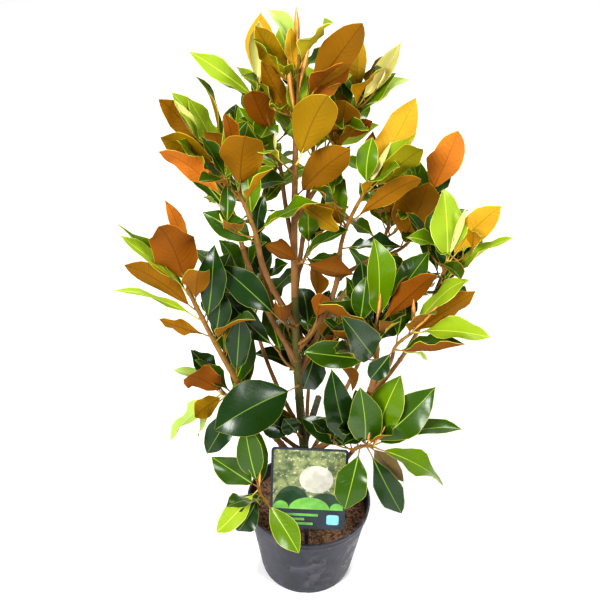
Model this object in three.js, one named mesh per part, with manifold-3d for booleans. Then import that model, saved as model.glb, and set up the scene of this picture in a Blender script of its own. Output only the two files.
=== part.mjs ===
// A young large-flowered magnolia in its nursery pot, with a plain picture card on a holder.
// Millimetres, +Z up. The origin is the middle of the pot's flat underside, and -Y is the front.
//
// The plant grows by rule. A trunk leans and tapers. Boughs leave it at a stated height and bend up
// to their tips. A mass of leaves begins 0.3 mm past each tip: one stem, the measured leaves that
// give the crown its outline, and leaves and side twigs that a seeded rule adds at the back.

import * as THREE from "three";
import { mergeVertices } from "three/addons/utils/BufferGeometryUtils.js";
import Module from "manifold-3d";

const wasm = await Module();
wasm.setup();

// ---------------------------------------------------------------- driving dimensions

const GAP = 0.3; // between neighbouring pieces
const POT = {
  height: 161, rimRadius: 105, baseRadius: 78, wall: 2, floor: 3, rimBand: 15, rimStep: 3.4,
  lip: 1.6, footRadius: 5, notches: 6, notchWidth: 15, notchHeight: 4, sides: 36,
};
const SOIL = { level: 139 };
const TRUNK = {
  footX: 6, tipX: -37, tipHeight: 869, leanPower: 2.4, footRadius: 8.2, tipRadius: 3.7,
  flare: 5, flareHeight: 24, steps: 14, sides: 8,
};
const CARD = {
  width: 122, height: 160, thickness: 1, corner: 7, middleX: -1, footY: -82, footHeight: 177, leanBack: 10,
};
const HOLDER = { width: 6.5, depth: 3, below: 37.6, above: 60 }; // below and above the card's lower edge

const LIMB_SIDES = 5;
const LIMB_STEPS = 5;
const STEM_STEPS = 4;
const STEM_SIDES = 4;
const TWIG_SIDES = 3;
const GOLDEN_ANGLE = 137.5;
const FILL_SWEEP = 230; // degrees round a stem that its ruled leaves take up

// Boughs: parent, height on it, first lift and bearing, tip [x, y, z], foot and tip radius.
// Bearings are degrees round from +X towards +Y, and lifts are degrees above the level.
const BOUGHS = {
  bough_left_low: ["trunk", 226, 55, 190, [-118, -31, 450], 5.4, 4.3],
  bough_upper_left: ["trunk", 470, 60, 185, [-116, 11, 698], 4.6, 3.4],
  bough_inner_left: ["trunk", 541, 60, 195, [-82, -62, 725], 4.6, 3.5],
  bough_high_left: ["trunk", 677, 74, 150, [-55, 15, 785], 3.6, 2.9],
  bough_high_right: ["trunk", 726, 55, 20, [15, 25, 817], 3.6, 2.9],
  bough_right: ["trunk", 488, 52, 12, [29, -24, 688], 4.5, 3.5],
  bough_far_right: ["bough_right", 632, 40, 15, [103, 33, 652], 3.2, 2.7],
  bough_front_right: ["trunk", 262, 46, -18, [88, -88, 548], 5.6, 4.4],
  bough_front_right_low: ["bough_front_right", 470, 60, -10, [110, -100, 580], 3.3, 2.7],
  bough_right_tip: ["bough_front_right", 440, 36, 34, [164, -32, 621], 3.6, 2.8],
  bough_low_right: ["trunk", 205, 40, -30, [65, -44, 319], 4.4, 3.4],
  bough_low_left: ["trunk", 165, 38, 215, [-55, -60, 218], 3.8, 3],
  bough_low_side: ["trunk", 268, 40, 178, [-104, -4, 372], 3.8, 2.9],
  bough_back_top: ["trunk", 590, 55, 80, [-18, 92, 735], 3.9, 3],
  bough_back_left: ["trunk", 445, 45, 130, [-100, 128, 610], 3.9, 3],
  bough_back_right: ["trunk", 440, 48, 55, [88, 126, 590], 3.9, 3],
  bough_back_low_left: ["trunk", 315, 42, 140, [-96, 122, 420], 3.9, 3],
  bough_back_low_right: ["trunk", 248, 42, 50, [86, 116, 408], 3.9, 3],
  bough_back_low: ["trunk", 225, 35, 95, [-8, 116, 316], 3.9, 3],
  cut_stub: ["trunk", 288, 56, 62, [9, 21, 374], 5.8, 5.2],
};

// What each tint stands for on a finished leaf is the finish's affair; here it gives a plain colour.
const TINTS = {
  lime: 0xb4d81e, bright: 0x6ea51e, green: 0x3f7a26, dark: 0x27472c, pale: 0xbfe08c, cream: 0xf4e9a8,
  peach: 0xf0b46e, orange: 0xee8d2a, gold: 0xcfa60c, yellow: 0xe8cf2c, olive: 0xa99a14,
  brown: 0xa06c0a, rust: 0xb4641a, boat: 0x8f5a22, grey: 0x9a927c,
};
const ROLLED = ["cream", "peach"]; // leaves still rolled round the shoot's tip

// Masses of leaves. carrier: a bough, or "trunk" with the height where the stem leaves it.
// apex: the stem's end. Each leaf: distance back from the apex along the stem, bearing, lift,
// length, width, which way its upper side looks (up, front or back) and its tint.
// fill: how many more leaves the rule adds, on how many side twigs, their tint, and the seed.
const MASSES = {
  leaves_upper_left: {
    carrier: "bough_upper_left", apex: [-144, 27, 806], radius: 3.1,
    leaves: [
      [0, 180, 58, 101, 22, "front", "cream"], [2, 158, 54, 113, 38, "up", "lime"],
      [10, 144, 61, 104, 34, "up", "lime"], [4, -170, 81, 142, 28, "up", "gold"],
      [15, 170, 50, 130, 34, "back", "brown"], [10, -159, 38, 105, 32, "back", "gold"],
      [62, -155, 47, 146, 30, "back", "orange"], [85, 170, 50, 134, 24, "front", "green"],
      [99, -168, 50, 75, 17, "up", "pale"],
    ],
    fill: { leaves: 4, twigs: 0, bearing: 60, tint: "green", seed: 11 },
  },
  leaves_inner_left: {
    carrier: "bough_inner_left", apex: [-107, -78, 819], radius: 3.2,
    leaves: [
      [0, -57, 79, 94, 55, "back", "brown"], [7, 180, 81, 130, 20, "back", "rust"],
      [3, 105, 42, 114, 28, "up", "bright"], [88, -168, 38, 92, 36, "front", "green"],
      [95, -176, 25, 65, 18, "back", "rust"], [91, 60, 80, 69, 26, "up", "dark"],
    ],
    fill: { leaves: 3, twigs: 0, bearing: 80, tint: "bright", seed: 12 },
  },
  leaves_high_left: {
    carrier: "bough_high_left", apex: [-90, 20, 912], radius: 2.7,
    leaves: [
      [0, -75, 84, 104, 34, "front", "cream"], [4, 91, 73, 106, 36, "back", "yellow"],
      [9, -174, 39, 116, 24, "front", "lime"],
      [8, 149, 47, 57, 20, "up", "lime"], 
      [72, -152, 68, 85, 42, "back", "rust"], [120, 157, 53, 107, 42, "front", "bright"],
    ],
    fill: { leaves: 4, twigs: 0, bearing: 70, tint: "bright", seed: 13 },
  },
  leaves_leader: {
    carrier: "trunk", apex: [-35, 0, 977], radius: 3.2,
    leaves: [
      [0, 180, 86, 63, 13, "front", "peach"], [9, 148, 54, 76, 34, "up", "pale"],
      [36, -152, 79, 86, 16, "back", "yellow"], [50, 136, 40, 66, 34, "up", "dark"],
      [55, -169, 61, 110, 30, "back", "gold"], [91, 131, 79, 86, 36, "up", "lime"],
      [88, -135, 80, 93, 13, "front", "peach"], [103, -161, 65, 110, 24, "back", "brown"],
      [57, -37, 78, 80, 11, "front", "peach"], [9, 33, 47, 40, 12, "up", "pale"],
    ],
    fill: { leaves: 3, twigs: 0, bearing: 100, tint: "lime", seed: 14 },
  },
  leaves_upper_right: {
    carrier: "trunk", height: 848, apex: [-26, -15, 924], radius: 2.4,
    leaves: [
      [0, -17, 59, 135, 47, "back", "brown"], [5, -27, 52, 91, 32, "up", "rust"],
      [5, 8, 45, 78, 28, "back", "rust"],
    ],
    fill: { leaves: 0, twigs: 0, bearing: 60, tint: "lime", seed: 15 },
  },
  leaves_high_right: {
    carrier: "bough_high_right", apex: [43, 40, 886], radius: 2.7,
    leaves: [
      [0, -2, 62, 108, 32, "front", "cream"], [11, 17, 32, 88, 46, "up", "pale"],
      [71, -64, 76, 93, 45, "back", "brown"], [36, 129, 78, 62, 24, "back", "gold"],
      [10, -112, 85, 127, 22, "back", "yellow"], [47, 0, 39, 49, 20, "back", "rust"],
    ],
    fill: { leaves: 5, twigs: 0, bearing: 90, tint: "bright", seed: 16 },
  },
  leaves_gold_front: {
    carrier: "trunk", height: 757, apex: [-34, -56, 850], radius: 2.5,
    leaves: [
      [0, -23, 70, 115, 56, "back", "gold"], [80, -20, 51, 118, 46, "back", "brown"], [95, -45, -4, 84, 28, "back", "gold"],
    ],
    fill: { leaves: 0, twigs: 0, bearing: 60, tint: "lime", seed: 17 },
  },
  leaves_right: {
    carrier: "bough_right", apex: [62, -25, 801], radius: 3.1,
    leaves: [
      [2, 44, 53, 134, 44, "back", "yellow"], [0, 69, 82, 74, 30, "up", "bright"],
      [0, -10, 70, 84, 11, "front", "cream"], [0, -16, 50, 115, 32, "back", "olive"],
      [4, 84, 42, 82, 26, "back", "rust"], [0, 60, 44, 98, 30, "up", "lime"],
      [52, -12, 44, 131, 26, "back", "brown"], [60, 180, 30, 53, 20, "back", "brown"],
      [108, 16, -7, 88, 34, "up", "dark"],
    ],
    fill: { leaves: 2, twigs: 0, bearing: 90, tint: "bright", seed: 18 },
  },
  leaves_far_right: {
    carrier: "bough_far_right", apex: [152, 41, 746], radius: 2.5,
    leaves: [
      [0, -20, 76, 118, 46, "back", "orange"], [100, -40, 74, 132, 66, "back", "brown"],
      [16, 38, 51, 65, 30, "up", "green"],
    ],
    fill: { leaves: 3, twigs: 0, bearing: 80, tint: "bright", seed: 19 },
  },
  leaves_right_tip: {
    carrier: "bough_right_tip", apex: [177, -47, 700], radius: 2.6,
    leaves: [
      [4, 116, 75, 108, 48, "up", "lime"], [0, 0, 80, 92, 13, "front", "cream"],
      [0, -4, 60, 120, 38, "back", "yellow"], [47, -8, 48, 136, 30, "up", "lime"],
      [30, 60, 60, 60, 34, "up", "dark"],
    ],
    fill: { leaves: 3, twigs: 0, bearing: 110, tint: "green", seed: 20 },
  },
  leaves_front_right: {
    carrier: "bough_front_right", apex: [82, -99, 626], radius: 3.7,
    leaves: [
      [0, 119, 83, 134, 46, "up", "bright"], [0, -71, 86, 60, 11, "front", "peach"],
      [0, -8, 56, 132, 36, "back", "rust"], [2, 13, 44, 130, 42, "up", "green"],
      [12, -169, 35, 98, 54, "up", "boat"], [30, -154, 30, 85, 54, "up", "boat"],
      [0, 147, 42, 62, 34, "up", "dark"], [23, -20, 57, 55, 14, "up", "lime"],
      [72, -158, 57, 144, 46, "front", "dark"], [78, -171, 13, 106, 42, "front", "green"],
    ],
    fill: { leaves: 2, twigs: 0, bearing: 90, tint: "dark", seed: 21 },
  },
  leaves_front_right_low: {
    carrier: "bough_front_right_low", apex: [134, -109, 623], radius: 2.5,
    leaves: [
      [0, -134, 84, 60, 11, "front", "peach"], [0, 9, 54, 114, 36, "up", "lime"],
      [0, -21, 61, 70, 11, "front", "peach"], [3, 5, 42, 116, 34, "back", "brown"],
      [0, -2, 11, 105, 42, "up", "lime"], [44, -19, 24, 104, 56, "up", "boat"],
      [40, 170, -60, 62, 28, "front", "dark"], [42, 11, -27, 60, 16, "up", "pale"],
    ],
    fill: { leaves: 2, twigs: 0, bearing: 60, tint: "green", seed: 22 },
  },
  leaves_low_right: {
    carrier: "bough_low_right", apex: [97, -74, 363], radius: 3.1,
    leaves: [
      [20, -150, 82, 132, 50, "front", "green"], [0, 20, 72, 134, 50, "front", "bright"],
      [0, 9, 52, 145, 54, "front", "green"], [0, -3, 22, 145, 50, "up", "green"],
      [0, -10, -25, 128, 52, "up", "bright"], [32, -112, -60, 105, 48, "front", "green"],
      [12, -19, -62, 140, 40, "front", "dark"], [4, -91, 80, 45, 10, "front", "peach"],
      [0, -18, 73, 50, 12, "front", "peach"], [7, 4, -54, 100, 32, "back", "grey"],
      [58, -178, 77, 172, 46, "front", "dark"],
      [70, 178, 27, 98, 36, "front", "dark"],
    ],
    fill: { leaves: 2, twigs: 0, bearing: 90, tint: "green", seed: 23 },
  },
  leaves_low_left: {
    carrier: "bough_low_left", apex: [-81, -90, 282], radius: 2.7,
    leaves: [
      [0, 155, 79, 120, 40, "front", "green"], [0, -176, 44, 99, 43, "front", "green"],
      [0, -68, 86, 45, 8, "front", "peach"], [0, -156, -46, 104, 34, "front", "lime"],
      [23, -140, -52, 76, 36, "front", "dark"], [42, -46, -34, 100, 40, "front", "bright"],
    ],
    fill: { leaves: 2, twigs: 0, bearing: 200, tint: "green", seed: 24 },
  },
  leaves_low_side: {
    carrier: "bough_low_side", apex: [-144, -10, 402], radius: 2.7,
    leaves: [
      [0, 175, 26, 84, 34, "up", "pale"], [3, -163, 50, 112, 46, "back", "rust"],
      [0, -142, -16, 60, 32, "back", "gold"], [0, -178, -62, 104, 28, "up", "pale"],
      [0, -146, -43, 116, 34, "up", "pale"], [30, -150, -58, 108, 40, "front", "dark"],
      [0, 150, 44, 88, 34, "up", "dark"],
    ],
    fill: { leaves: 3, twigs: 0, bearing: 165, tint: "green", seed: 25 },
  },
  leaves_left: {
    carrier: "bough_left_low", apex: [-184, -45, 634], radius: 4.2,
    leaves: [
      [0, -130, 71, 142, 57, "back", "rust"], [5, 170, 79, 157, 20, "back", "orange"],
      [7, -176, 47, 136, 32, "up", "lime"], [14, 168, 45, 152, 28, "up", "bright"],
      [45, -162, 48, 152, 32, "back", "brown"], [61, -168, 32, 144, 20, "up", "lime"],
      [90, -165, 31, 85, 20, "back", "brown"], [65, 54, 82, 132, 38, "front", "dark"],
      [105, 58, 79, 93, 40, "front", "dark"], [188, 33, 86, 122, 38, "front", "dark"],
      [140, 0, 75, 75, 16, "back", "brown"],
    ],
    fill: { leaves: 4, twigs: 0, bearing: 40, tint: "green", seed: 26 },
  },
  leaves_inner_front_left: {
    carrier: "trunk", height: 532, apex: [-49, -41, 577], radius: 2.4,
    leaves: [
      [0, 165, 40, 122, 42, "front", "dark"], [5, -99, 60, 60, 53, "up", "boat"],
    ],
    fill: { leaves: 0, twigs: 0, bearing: 60, tint: "lime", seed: 27 },
  },
  leaves_middle_front: {
    carrier: "trunk", height: 648, apex: [-23, -45, 688], radius: 2.5,
    leaves: [
      [10, -152, 40, 71, 46, "back", "boat"], [3, -24, 4, 78, 50, "back", "boat"],
      [0, 5, 44, 89, 34, "up", "green"],
    ],
    fill: { leaves: 0, twigs: 0, bearing: 60, tint: "lime", seed: 28 },
  },
  leaves_middle_right: {
    carrier: "trunk", height: 500, apex: [0, -18, 560], radius: 2.5,
    leaves: [[0, 0, 80, 54, 25, "back", "rust"], [30, 60, 20, 90, 36, "up", "dark"]],
    fill: { leaves: 0, twigs: 0, bearing: 60, tint: "lime", seed: 29 },
  },
  leaves_middle_back: {
    carrier: "trunk", height: 612, apex: [-15, 45, 650], radius: 2.4,
    leaves: [
      [0, 60, 78, 68, 28, "up", "bright"], [2, 9, 51, 62, 28, "up", "dark"],
      [6, 49, -71, 100, 34, "up", "green"], [12, -20, 15, 60, 30, "up", "green"],
    ],
    fill: { leaves: 0, twigs: 0, bearing: 60, tint: "green", seed: 33 },
  },
  leaves_low_behind: {
    carrier: "trunk", height: 430, apex: [4, 40, 467], radius: 2.4,
    leaves: [
      [0, 139, -76, 118, 46, "front", "dark"], [3, 24, -55, 132, 46, "up", "dark"],
      [5, 60, 30, 95, 40, "up", "green"],
    ],
    fill: { leaves: 0, twigs: 0, bearing: 60, tint: "dark", seed: 34 },
  },
  leaves_big_dark: {
    carrier: "trunk", height: 418, apex: [-24, -16, 430], radius: 2.6,
    leaves: [[0, -162, -11, 148, 78, "front", "dark"]],
    fill: { leaves: 0, twigs: 0, bearing: 60, tint: "dark", seed: 30 },
  },
  leaves_middle_left: {
    carrier: "trunk", height: 446, apex: [-54, -12, 494], radius: 2.4,
    leaves: [[0, 167, 47, 134, 36, "front", "dark"], [8, 100, 40, 84, 32, "up", "green"]],
    fill: { leaves: 0, twigs: 0, bearing: 60, tint: "dark", seed: 32 },
  },
  leaves_foot: {
    carrier: "trunk", height: 305, apex: [-22, -24, 335], radius: 2.6,
    leaves: [
      [0, 176, 28, 68, 42, "front", "dark"], [2, -150, 60, 50, 30, "front", "dark"],
      [10, 170, 50, 62, 22, "back", "olive"],
    ],
    fill: { leaves: 0, twigs: 0, bearing: 60, tint: "lime", seed: 31 },
  },
  leaves_back_top: {
    carrier: "bough_back_top", apex: [-10, 130, 812], radius: 2.8, leaves: [],
    fill: { leaves: 6, twigs: 2, bearing: 90, tint: "lime", seed: 41 },
  },
  leaves_back_left: {
    carrier: "bough_back_left", apex: [-118, 162, 700], radius: 2.8, leaves: [],
    fill: { leaves: 6, twigs: 2, bearing: 120, tint: "bright", seed: 42 },
  },
  leaves_back_right: {
    carrier: "bough_back_right", apex: [108, 160, 668], radius: 2.8, leaves: [],
    fill: { leaves: 6, twigs: 2, bearing: 60, tint: "bright", seed: 43 },
  },
  leaves_back_low_left: {
    carrier: "bough_back_low_left", apex: [-120, 156, 500], radius: 2.8, leaves: [],
    fill: { leaves: 6, twigs: 2, bearing: 130, tint: "green", seed: 44 },
  },
  leaves_back_low_right: {
    carrier: "bough_back_low_right", apex: [112, 150, 490], radius: 2.8, leaves: [],
    fill: { leaves: 6, twigs: 2, bearing: 50, tint: "green", seed: 45 },
  },
  leaves_back_low: {
    carrier: "bough_back_low", apex: [-12, 160, 385], radius: 2.8, leaves: [],
    fill: { leaves: 6, twigs: 2, bearing: 75, tint: "dark", seed: 46 },
  },
};

// ---------------------------------------------------------------- small maths

const vec = (x, y, z) => new THREE.Vector3(x, y, z);
const UP = vec(0, 0, 1);
const SIDES = { up: vec(0, 0, 1), front: vec(0, -0.72, 0.69), back: vec(0, 1, -0.25) };

// The unit direction of a bearing and a lift, in degrees.
function heading(bearing, lift) {
  const b = THREE.MathUtils.degToRad(bearing);
  const l = THREE.MathUtils.degToRad(lift);
  return vec(Math.cos(l) * Math.cos(b), Math.cos(l) * Math.sin(b), Math.sin(l));
}

// A small seeded generator of numbers from 0 to 1.
function seeded(seed) {
  let state = seed >>> 0;
  return () => {
    state = (state + 0x6d2b79f5) >>> 0;
    let t = state;
    t = Math.imul(t ^ (t >>> 15), t | 1);
    t ^= t + Math.imul(t ^ (t >>> 7), t | 61);
    return ((t ^ (t >>> 14)) >>> 0) / 4294967296;
  };
}

// A limb is a list of stations, each with its point, radius and direction. This one bends from a
// first heading towards its tip, as a quadratic curve.
function limbPath(foot, first, tip, footRadius, tipRadius, steps) {
  const bend = foot.clone().addScaledVector(first, foot.distanceTo(tip) * 0.5);
  const curve = new THREE.QuadraticBezierCurve3(foot, bend, tip);
  return Array.from({ length: steps + 1 }, (_, i) => {
    const t = i / steps;
    return {
      point: curve.getPoint(t),
      radius: footRadius + (tipRadius - footRadius) * t,
      along: curve.getTangent(t),
    };
  });
}

// The trunk leans away at its foot and then stands upright. Its foot is cut level.
function trunkPath() {
  const foot = SOIL.level + GAP;
  const height = TRUNK.tipHeight - foot;
  const middle = (share) =>
    vec(TRUNK.tipX + (TRUNK.footX - TRUNK.tipX) * Math.pow(1 - share, TRUNK.leanPower), 0, foot + height * share);
  return Array.from({ length: TRUNK.steps + 1 }, (_, i) => {
    const share = Math.pow(i / TRUNK.steps, 1.25);
    const flare = TRUNK.flare * Math.max(0, 1 - (height * share) / TRUNK.flareHeight);
    const step = Math.min(1, share + 0.01);
    return {
      point: middle(share),
      radius: TRUNK.footRadius + (TRUNK.tipRadius - TRUNK.footRadius) * share + flare,
      along: i === 0 ? UP.clone() : middle(step).sub(middle(step - 0.02)).normalize(),
    };
  });
}

// The point and radius on a limb at a height, and its direction there.
function atHeight(path, height) {
  const i = Math.max(1, path.findIndex((s) => s.point.z >= height));
  const a = path[i - 1];
  const b = path[i];
  const t = (height - a.point.z) / (b.point.z - a.point.z);
  return {
    point: a.point.clone().lerp(b.point, t),
    radius: a.radius + (b.radius - a.radius) * t,
    along: b.point.clone().sub(a.point).normalize(),
  };
}

// The point, radius and direction on a stem at a distance back from its tip.
function atBack(path, back) {
  let left = back;
  for (let i = path.length - 1; i > 0; i -= 1) {
    const b = path[i];
    const a = path[i - 1];
    const span = b.point.distanceTo(a.point);
    if (left <= span || i === 1) {
      const t = Math.min(1, left / span);
      return {
        point: b.point.clone().lerp(a.point, t),
        radius: b.radius + (a.radius - b.radius) * t,
        along: b.point.clone().sub(a.point).normalize(),
      };
    }
    left -= span;
  }
  return null;
}

const pathLength = (path) =>
  path.slice(1).reduce((sum, s, i) => sum + s.point.distanceTo(path[i].point), 0);

// ---------------------------------------------------------------- solids

function toSolid(points, faces) {
  const geometry = new THREE.BufferGeometry();
  geometry.setAttribute("position", new THREE.Float32BufferAttribute(points.flatMap((p) => p.toArray()), 3));
  geometry.setIndex(faces.flat());
  return solidOf(geometry);
}

function solidOf(geometry) {
  const bare = geometry.clone();
  bare.deleteAttribute("normal");
  bare.deleteAttribute("uv");
  const merged = mergeVertices(bare, 1e-4);
  const triVerts = [];
  for (let i = 0; i < merged.index.count; i += 3) {
    const [a, b, c] = merged.index.array.subarray(i, i + 3);
    if (a !== b && b !== c && c !== a) triVerts.push(a, b, c);
  }
  const mesh = new wasm.Mesh({
    numProp: 3,
    vertProperties: new Float32Array(merged.attributes.position.array),
    triVerts: new Uint32Array(triVerts),
  });
  return new wasm.Manifold(mesh);
}

// The largest outer body of a solid, with any sealed hollow filled and loose scraps dropped.
function wholeBody(solid) {
  const bodies = solid.decompose();
  return bodies.reduce((best, body) => (body.volume() > best.volume() ? body : best));
}

function toGeometry(solid) {
  const mesh = solid.getMesh();
  const geometry = new THREE.BufferGeometry();
  geometry.setAttribute("position", new THREE.BufferAttribute(mesh.vertProperties, 3));
  geometry.setIndex(new THREE.BufferAttribute(mesh.triVerts, 1));
  geometry.computeVertexNormals();
  return geometry;
}

// A closed tube through a limb's stations, with flat ends square to the limb.
function tube(path, sides, extra = 0) {
  const points = [];
  const faces = [];
  path.forEach((station) => {
    const across = vec(0, 1, 0).cross(station.along).normalize();
    const third = station.along.clone().cross(across);
    for (let k = 0; k < sides; k += 1) {
      const angle = (2 * Math.PI * k) / sides;
      const spoke = across.clone().multiplyScalar(Math.cos(angle));
      spoke.addScaledVector(third, Math.sin(angle));
      points.push(station.point.clone().addScaledVector(spoke, station.radius + extra));
    }
  });
  const last = path.length - 1;
  for (let i = 0; i < last; i += 1) {
    for (let k = 0; k < sides; k += 1) {
      const a = i * sides + k;
      const b = i * sides + ((k + 1) % sides);
      faces.push([a, b, b + sides], [a, b + sides, a + sides]);
    }
  }
  for (let k = 1; k < sides - 1; k += 1) {
    faces.push([0, k + 1, k], [last * sides, last * sides + k, last * sides + k + 1]);
  }
  return toSolid(points, faces);
}

// ---------------------------------------------------------------- leaves

const PETIOLE = 0.12; // of a leaf's length
const STALK_RADIUS = 1.3;
const ROOT_OFFSET = 0.45; // of the twig's radius
const LEAF_STATIONS = { drawn: [0.3, 0.55, 0.8], ruled: [0.36, 0.74] };
const THICKNESS = 0.016; // of a leaf's length, at the midrib
const TIP_BEND = 26; // degrees that a flat leaf turns outwards from base to tip
const FOLD = { flat: 7, boat: 52 }; // degrees that each half rises from the midrib

// Half the blade's width at a share of the leaf's length.
function halfWidth(share, width) {
  const blade = Math.max(0, (share - PETIOLE) / (1 - PETIOLE));
  return 0.5 * width * Math.pow(Math.sin(Math.PI * Math.pow(blade, 1.1)), 0.7);
}

// The leaf's middle line, edges and frame at a share of its length.
function leafStation(leaf, share) {
  const bend = THREE.MathUtils.degToRad(leaf.bend);
  const slope = bend * (share - 0.5);
  const run = leaf.length * share;
  const along = leaf.axis.clone().multiplyScalar(Math.cos(slope)).addScaledVector(leaf.top, -Math.sin(slope));
  const top = leaf.top.clone().multiplyScalar(Math.cos(slope)).addScaledVector(leaf.axis, Math.sin(slope));
  const bow = leaf.length * (bend / 2) * share * (1 - share);
  const middle = leaf.root.clone().addScaledVector(leaf.axis, run).addScaledVector(leaf.top, bow);
  return { middle, along, top };
}

// A leaf's low outline: its root, then the middle and both edges at each station, then its tip.
function leafOutline(leaf) {
  const fold = THREE.MathUtils.degToRad(leaf.fold);
  const rows = LEAF_STATIONS[leaf.kind].map((share) => {
    const { middle, top } = leafStation(leaf, share);
    const half = Math.max(1.2, halfWidth(share, leaf.width));
    const out = leaf.across.clone().multiplyScalar(half * Math.cos(fold));
    const rise = top.clone().multiplyScalar(half * Math.sin(fold));
    return {
      middle, top,
      left: middle.clone().add(out).add(rise),
      right: middle.clone().sub(out).add(rise),
    };
  });
  return { root: leaf.root, rows, tip: leafStation(leaf, 1).middle };
}

// A leaf grows from a seat on its twig, a little off the twig's middle line on its own side.
function makeLeaf(seat, row) {
  const [, bearing, lift, length, width, side, tint, kind = "drawn"] = row;
  const axis = heading(bearing, lift);
  const looks = SIDES[side];
  const top = looks.clone().addScaledVector(axis, -looks.dot(axis)).normalize();
  const outward = axis.clone().addScaledVector(seat.along, -axis.dot(seat.along)).normalize();
  const root = seat.point.clone().addScaledVector(outward, seat.radius * ROOT_OFFSET);
  const rolled = ROLLED.includes(tint);
  const boat = tint === "boat";
  return {
    root, axis, top, across: top.clone().cross(axis), length, width, tint, kind, rolled,
    bend: rolled ? 4 : boat ? -30 : TIP_BEND,
    fold: rolled ? 0 : boat ? FOLD.boat : FOLD.flat,
  };
}

// The leaf's solid: a stalk sunk in the twig, then the blade. A flat blade has a keel along its
// midrib, and a boat-shaped or rolled leaf is hollow above or round.
function leafSolid(leaf) {
  const outline = leafOutline(leaf);
  const keeled = !leaf.rolled && leaf.fold < FOLD.boat;
  const sides = keeled ? 3 : 4;
  const deep = leaf.rolled ? leaf.width * 0.35 : leaf.length * THICKNESS;
  const points = [];
  const ring = (middle, left, right, top, thick) => {
    if (!keeled) points.push(middle.clone().addScaledVector(top, thick / 2));
    points.push(right, middle.clone().addScaledVector(top, -thick / 2), left);
  };
  const stalk = (middle, top) => {
    const half = leaf.across.clone().multiplyScalar(STALK_RADIUS);
    ring(middle, middle.clone().add(half), middle.clone().sub(half), top, 2 * STALK_RADIUS);
  };
  const neck = leafStation(leaf, PETIOLE);
  stalk(outline.root.clone().addScaledVector(leaf.axis, -1.2), leaf.top);
  stalk(neck.middle, neck.top);
  outline.rows.forEach((r) => ring(r.middle, r.left, r.right, r.top, deep));
  points.push(outline.tip);
  const faces = [];
  const end = (outline.rows.length + 1) * sides;
  for (let k = 1; k < sides - 1; k += 1) faces.push([0, k + 1, k]);
  for (let i = 0; i < end; i += sides) {
    for (let k = 0; k < sides; k += 1) {
      const a = i + k;
      const b = i + ((k + 1) % sides);
      faces.push([a, b, b + sides], [a, b + sides, a + sides]);
    }
  }
  for (let k = 0; k < sides; k += 1) faces.push([end + k, end + ((k + 1) % sides), end + sides]);
  return toSolid(points, faces);
}

// ---------------------------------------------------------------- keeping clear

// What a leaf must keep clear of is a shape of corners, edges and faces, with a girth round its edges.
// The shape begins at a share of the leaf's length, so that it may hold the stalk or leave it out.
function leafShape(leaf, owner, start) {
  const outline = leafOutline(leaf);
  const points = [leafStation(leaf, start).middle];
  outline.rows.forEach((r) => points.push(r.left, r.middle, r.right));
  points.push(outline.tip);
  const faces = [[0, 1, 2], [0, 2, 3]];
  const edges = [[0, 1], [0, 2], [0, 3], [1, 2], [2, 3]];
  for (let i = 1; i < outline.rows.length; i += 1) {
    const a = 3 * i - 2;
    faces.push([a, a + 3, a + 4], [a, a + 4, a + 1], [a + 1, a + 4, a + 5], [a + 1, a + 5, a + 2]);
    edges.push([a, a + 3], [a + 1, a + 4], [a + 2, a + 5], [a + 3, a + 4], [a + 4, a + 5], [a, a + 4], [a + 1, a + 5]);
  }
  const a = 3 * outline.rows.length - 2;
  faces.push([a, a + 3, a + 1], [a + 1, a + 3, a + 2]);
  edges.push([a, a + 3], [a + 1, a + 3], [a + 2, a + 3]);
  return shapeOf(points, edges, faces, leaf.rolled ? leaf.width * 0.3 : 0.9, owner);
}

function shapeOf(points, edges, faces, girth, owner) {
  const box = new THREE.Box3().setFromPoints(points);
  return { points, edges, faces, girth, owner, box };
}

const limbShapes = (path, owner) =>
  path.slice(1).map((s, i) => shapeOf([path[i].point, s.point], [[0, 1]], [], path[i].radius, owner));

// The distance between two straight runs.
function runDistance(a, b, c, d) {
  const u = b.clone().sub(a);
  const v = d.clone().sub(c);
  const w = a.clone().sub(c);
  const uu = u.dot(u);
  const uv = u.dot(v);
  const vv = v.dot(v);
  const uw = u.dot(w);
  const vw = v.dot(w);
  const spread = uu * vv - uv * uv;
  let s = spread > 1e-9 ? (uv * vw - vv * uw) / spread : 0;
  s = Math.min(1, Math.max(0, s));
  let t = (uv * s + vw) / vv;
  t = Math.min(1, Math.max(0, t));
  s = Math.min(1, Math.max(0, (uv * t - uw) / uu));
  return a.clone().addScaledVector(u, s).distanceTo(c.clone().addScaledVector(v, t));
}

// True where a straight run passes through a face grown a little past its edges.
function pierces(from, to, a, b, c) {
  const run = to.clone().sub(from);
  const e = b.clone().sub(a);
  const f = c.clone().sub(a);
  const p = run.clone().cross(f);
  const det = e.dot(p);
  if (Math.abs(det) < 1e-9) return false;
  const q = from.clone().sub(a);
  const u = q.dot(p) / det;
  const r = q.cross(e);
  const v = run.dot(r) / det;
  const t = f.dot(r) / det;
  return u >= 0 && v >= 0 && u + v <= 1 && t >= 0 && t <= 1;
}

function touches(one, other, gap) {
  const room = gap + one.girth + other.girth;
  if (one.box.clone().expandByScalar(room).intersectsBox(other.box) === false) return false;
  for (const [i, j] of one.edges) {
    for (const [k, l] of other.edges) {
      if (runDistance(one.points[i], one.points[j], other.points[k], other.points[l]) < room) return true;
    }
  }
  for (const [first, second] of [[one, other], [other, one]]) {
    for (const [i, j] of first.edges) {
      const from = first.points[i];
      const to = first.points[j];
      for (const [a, b, c] of second.faces) {
        if (pierces(from, to, second.points[a], second.points[b], second.points[c])) return true;
      }
    }
  }
  return false;
}

// ---------------------------------------------------------------- growing the plant

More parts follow.
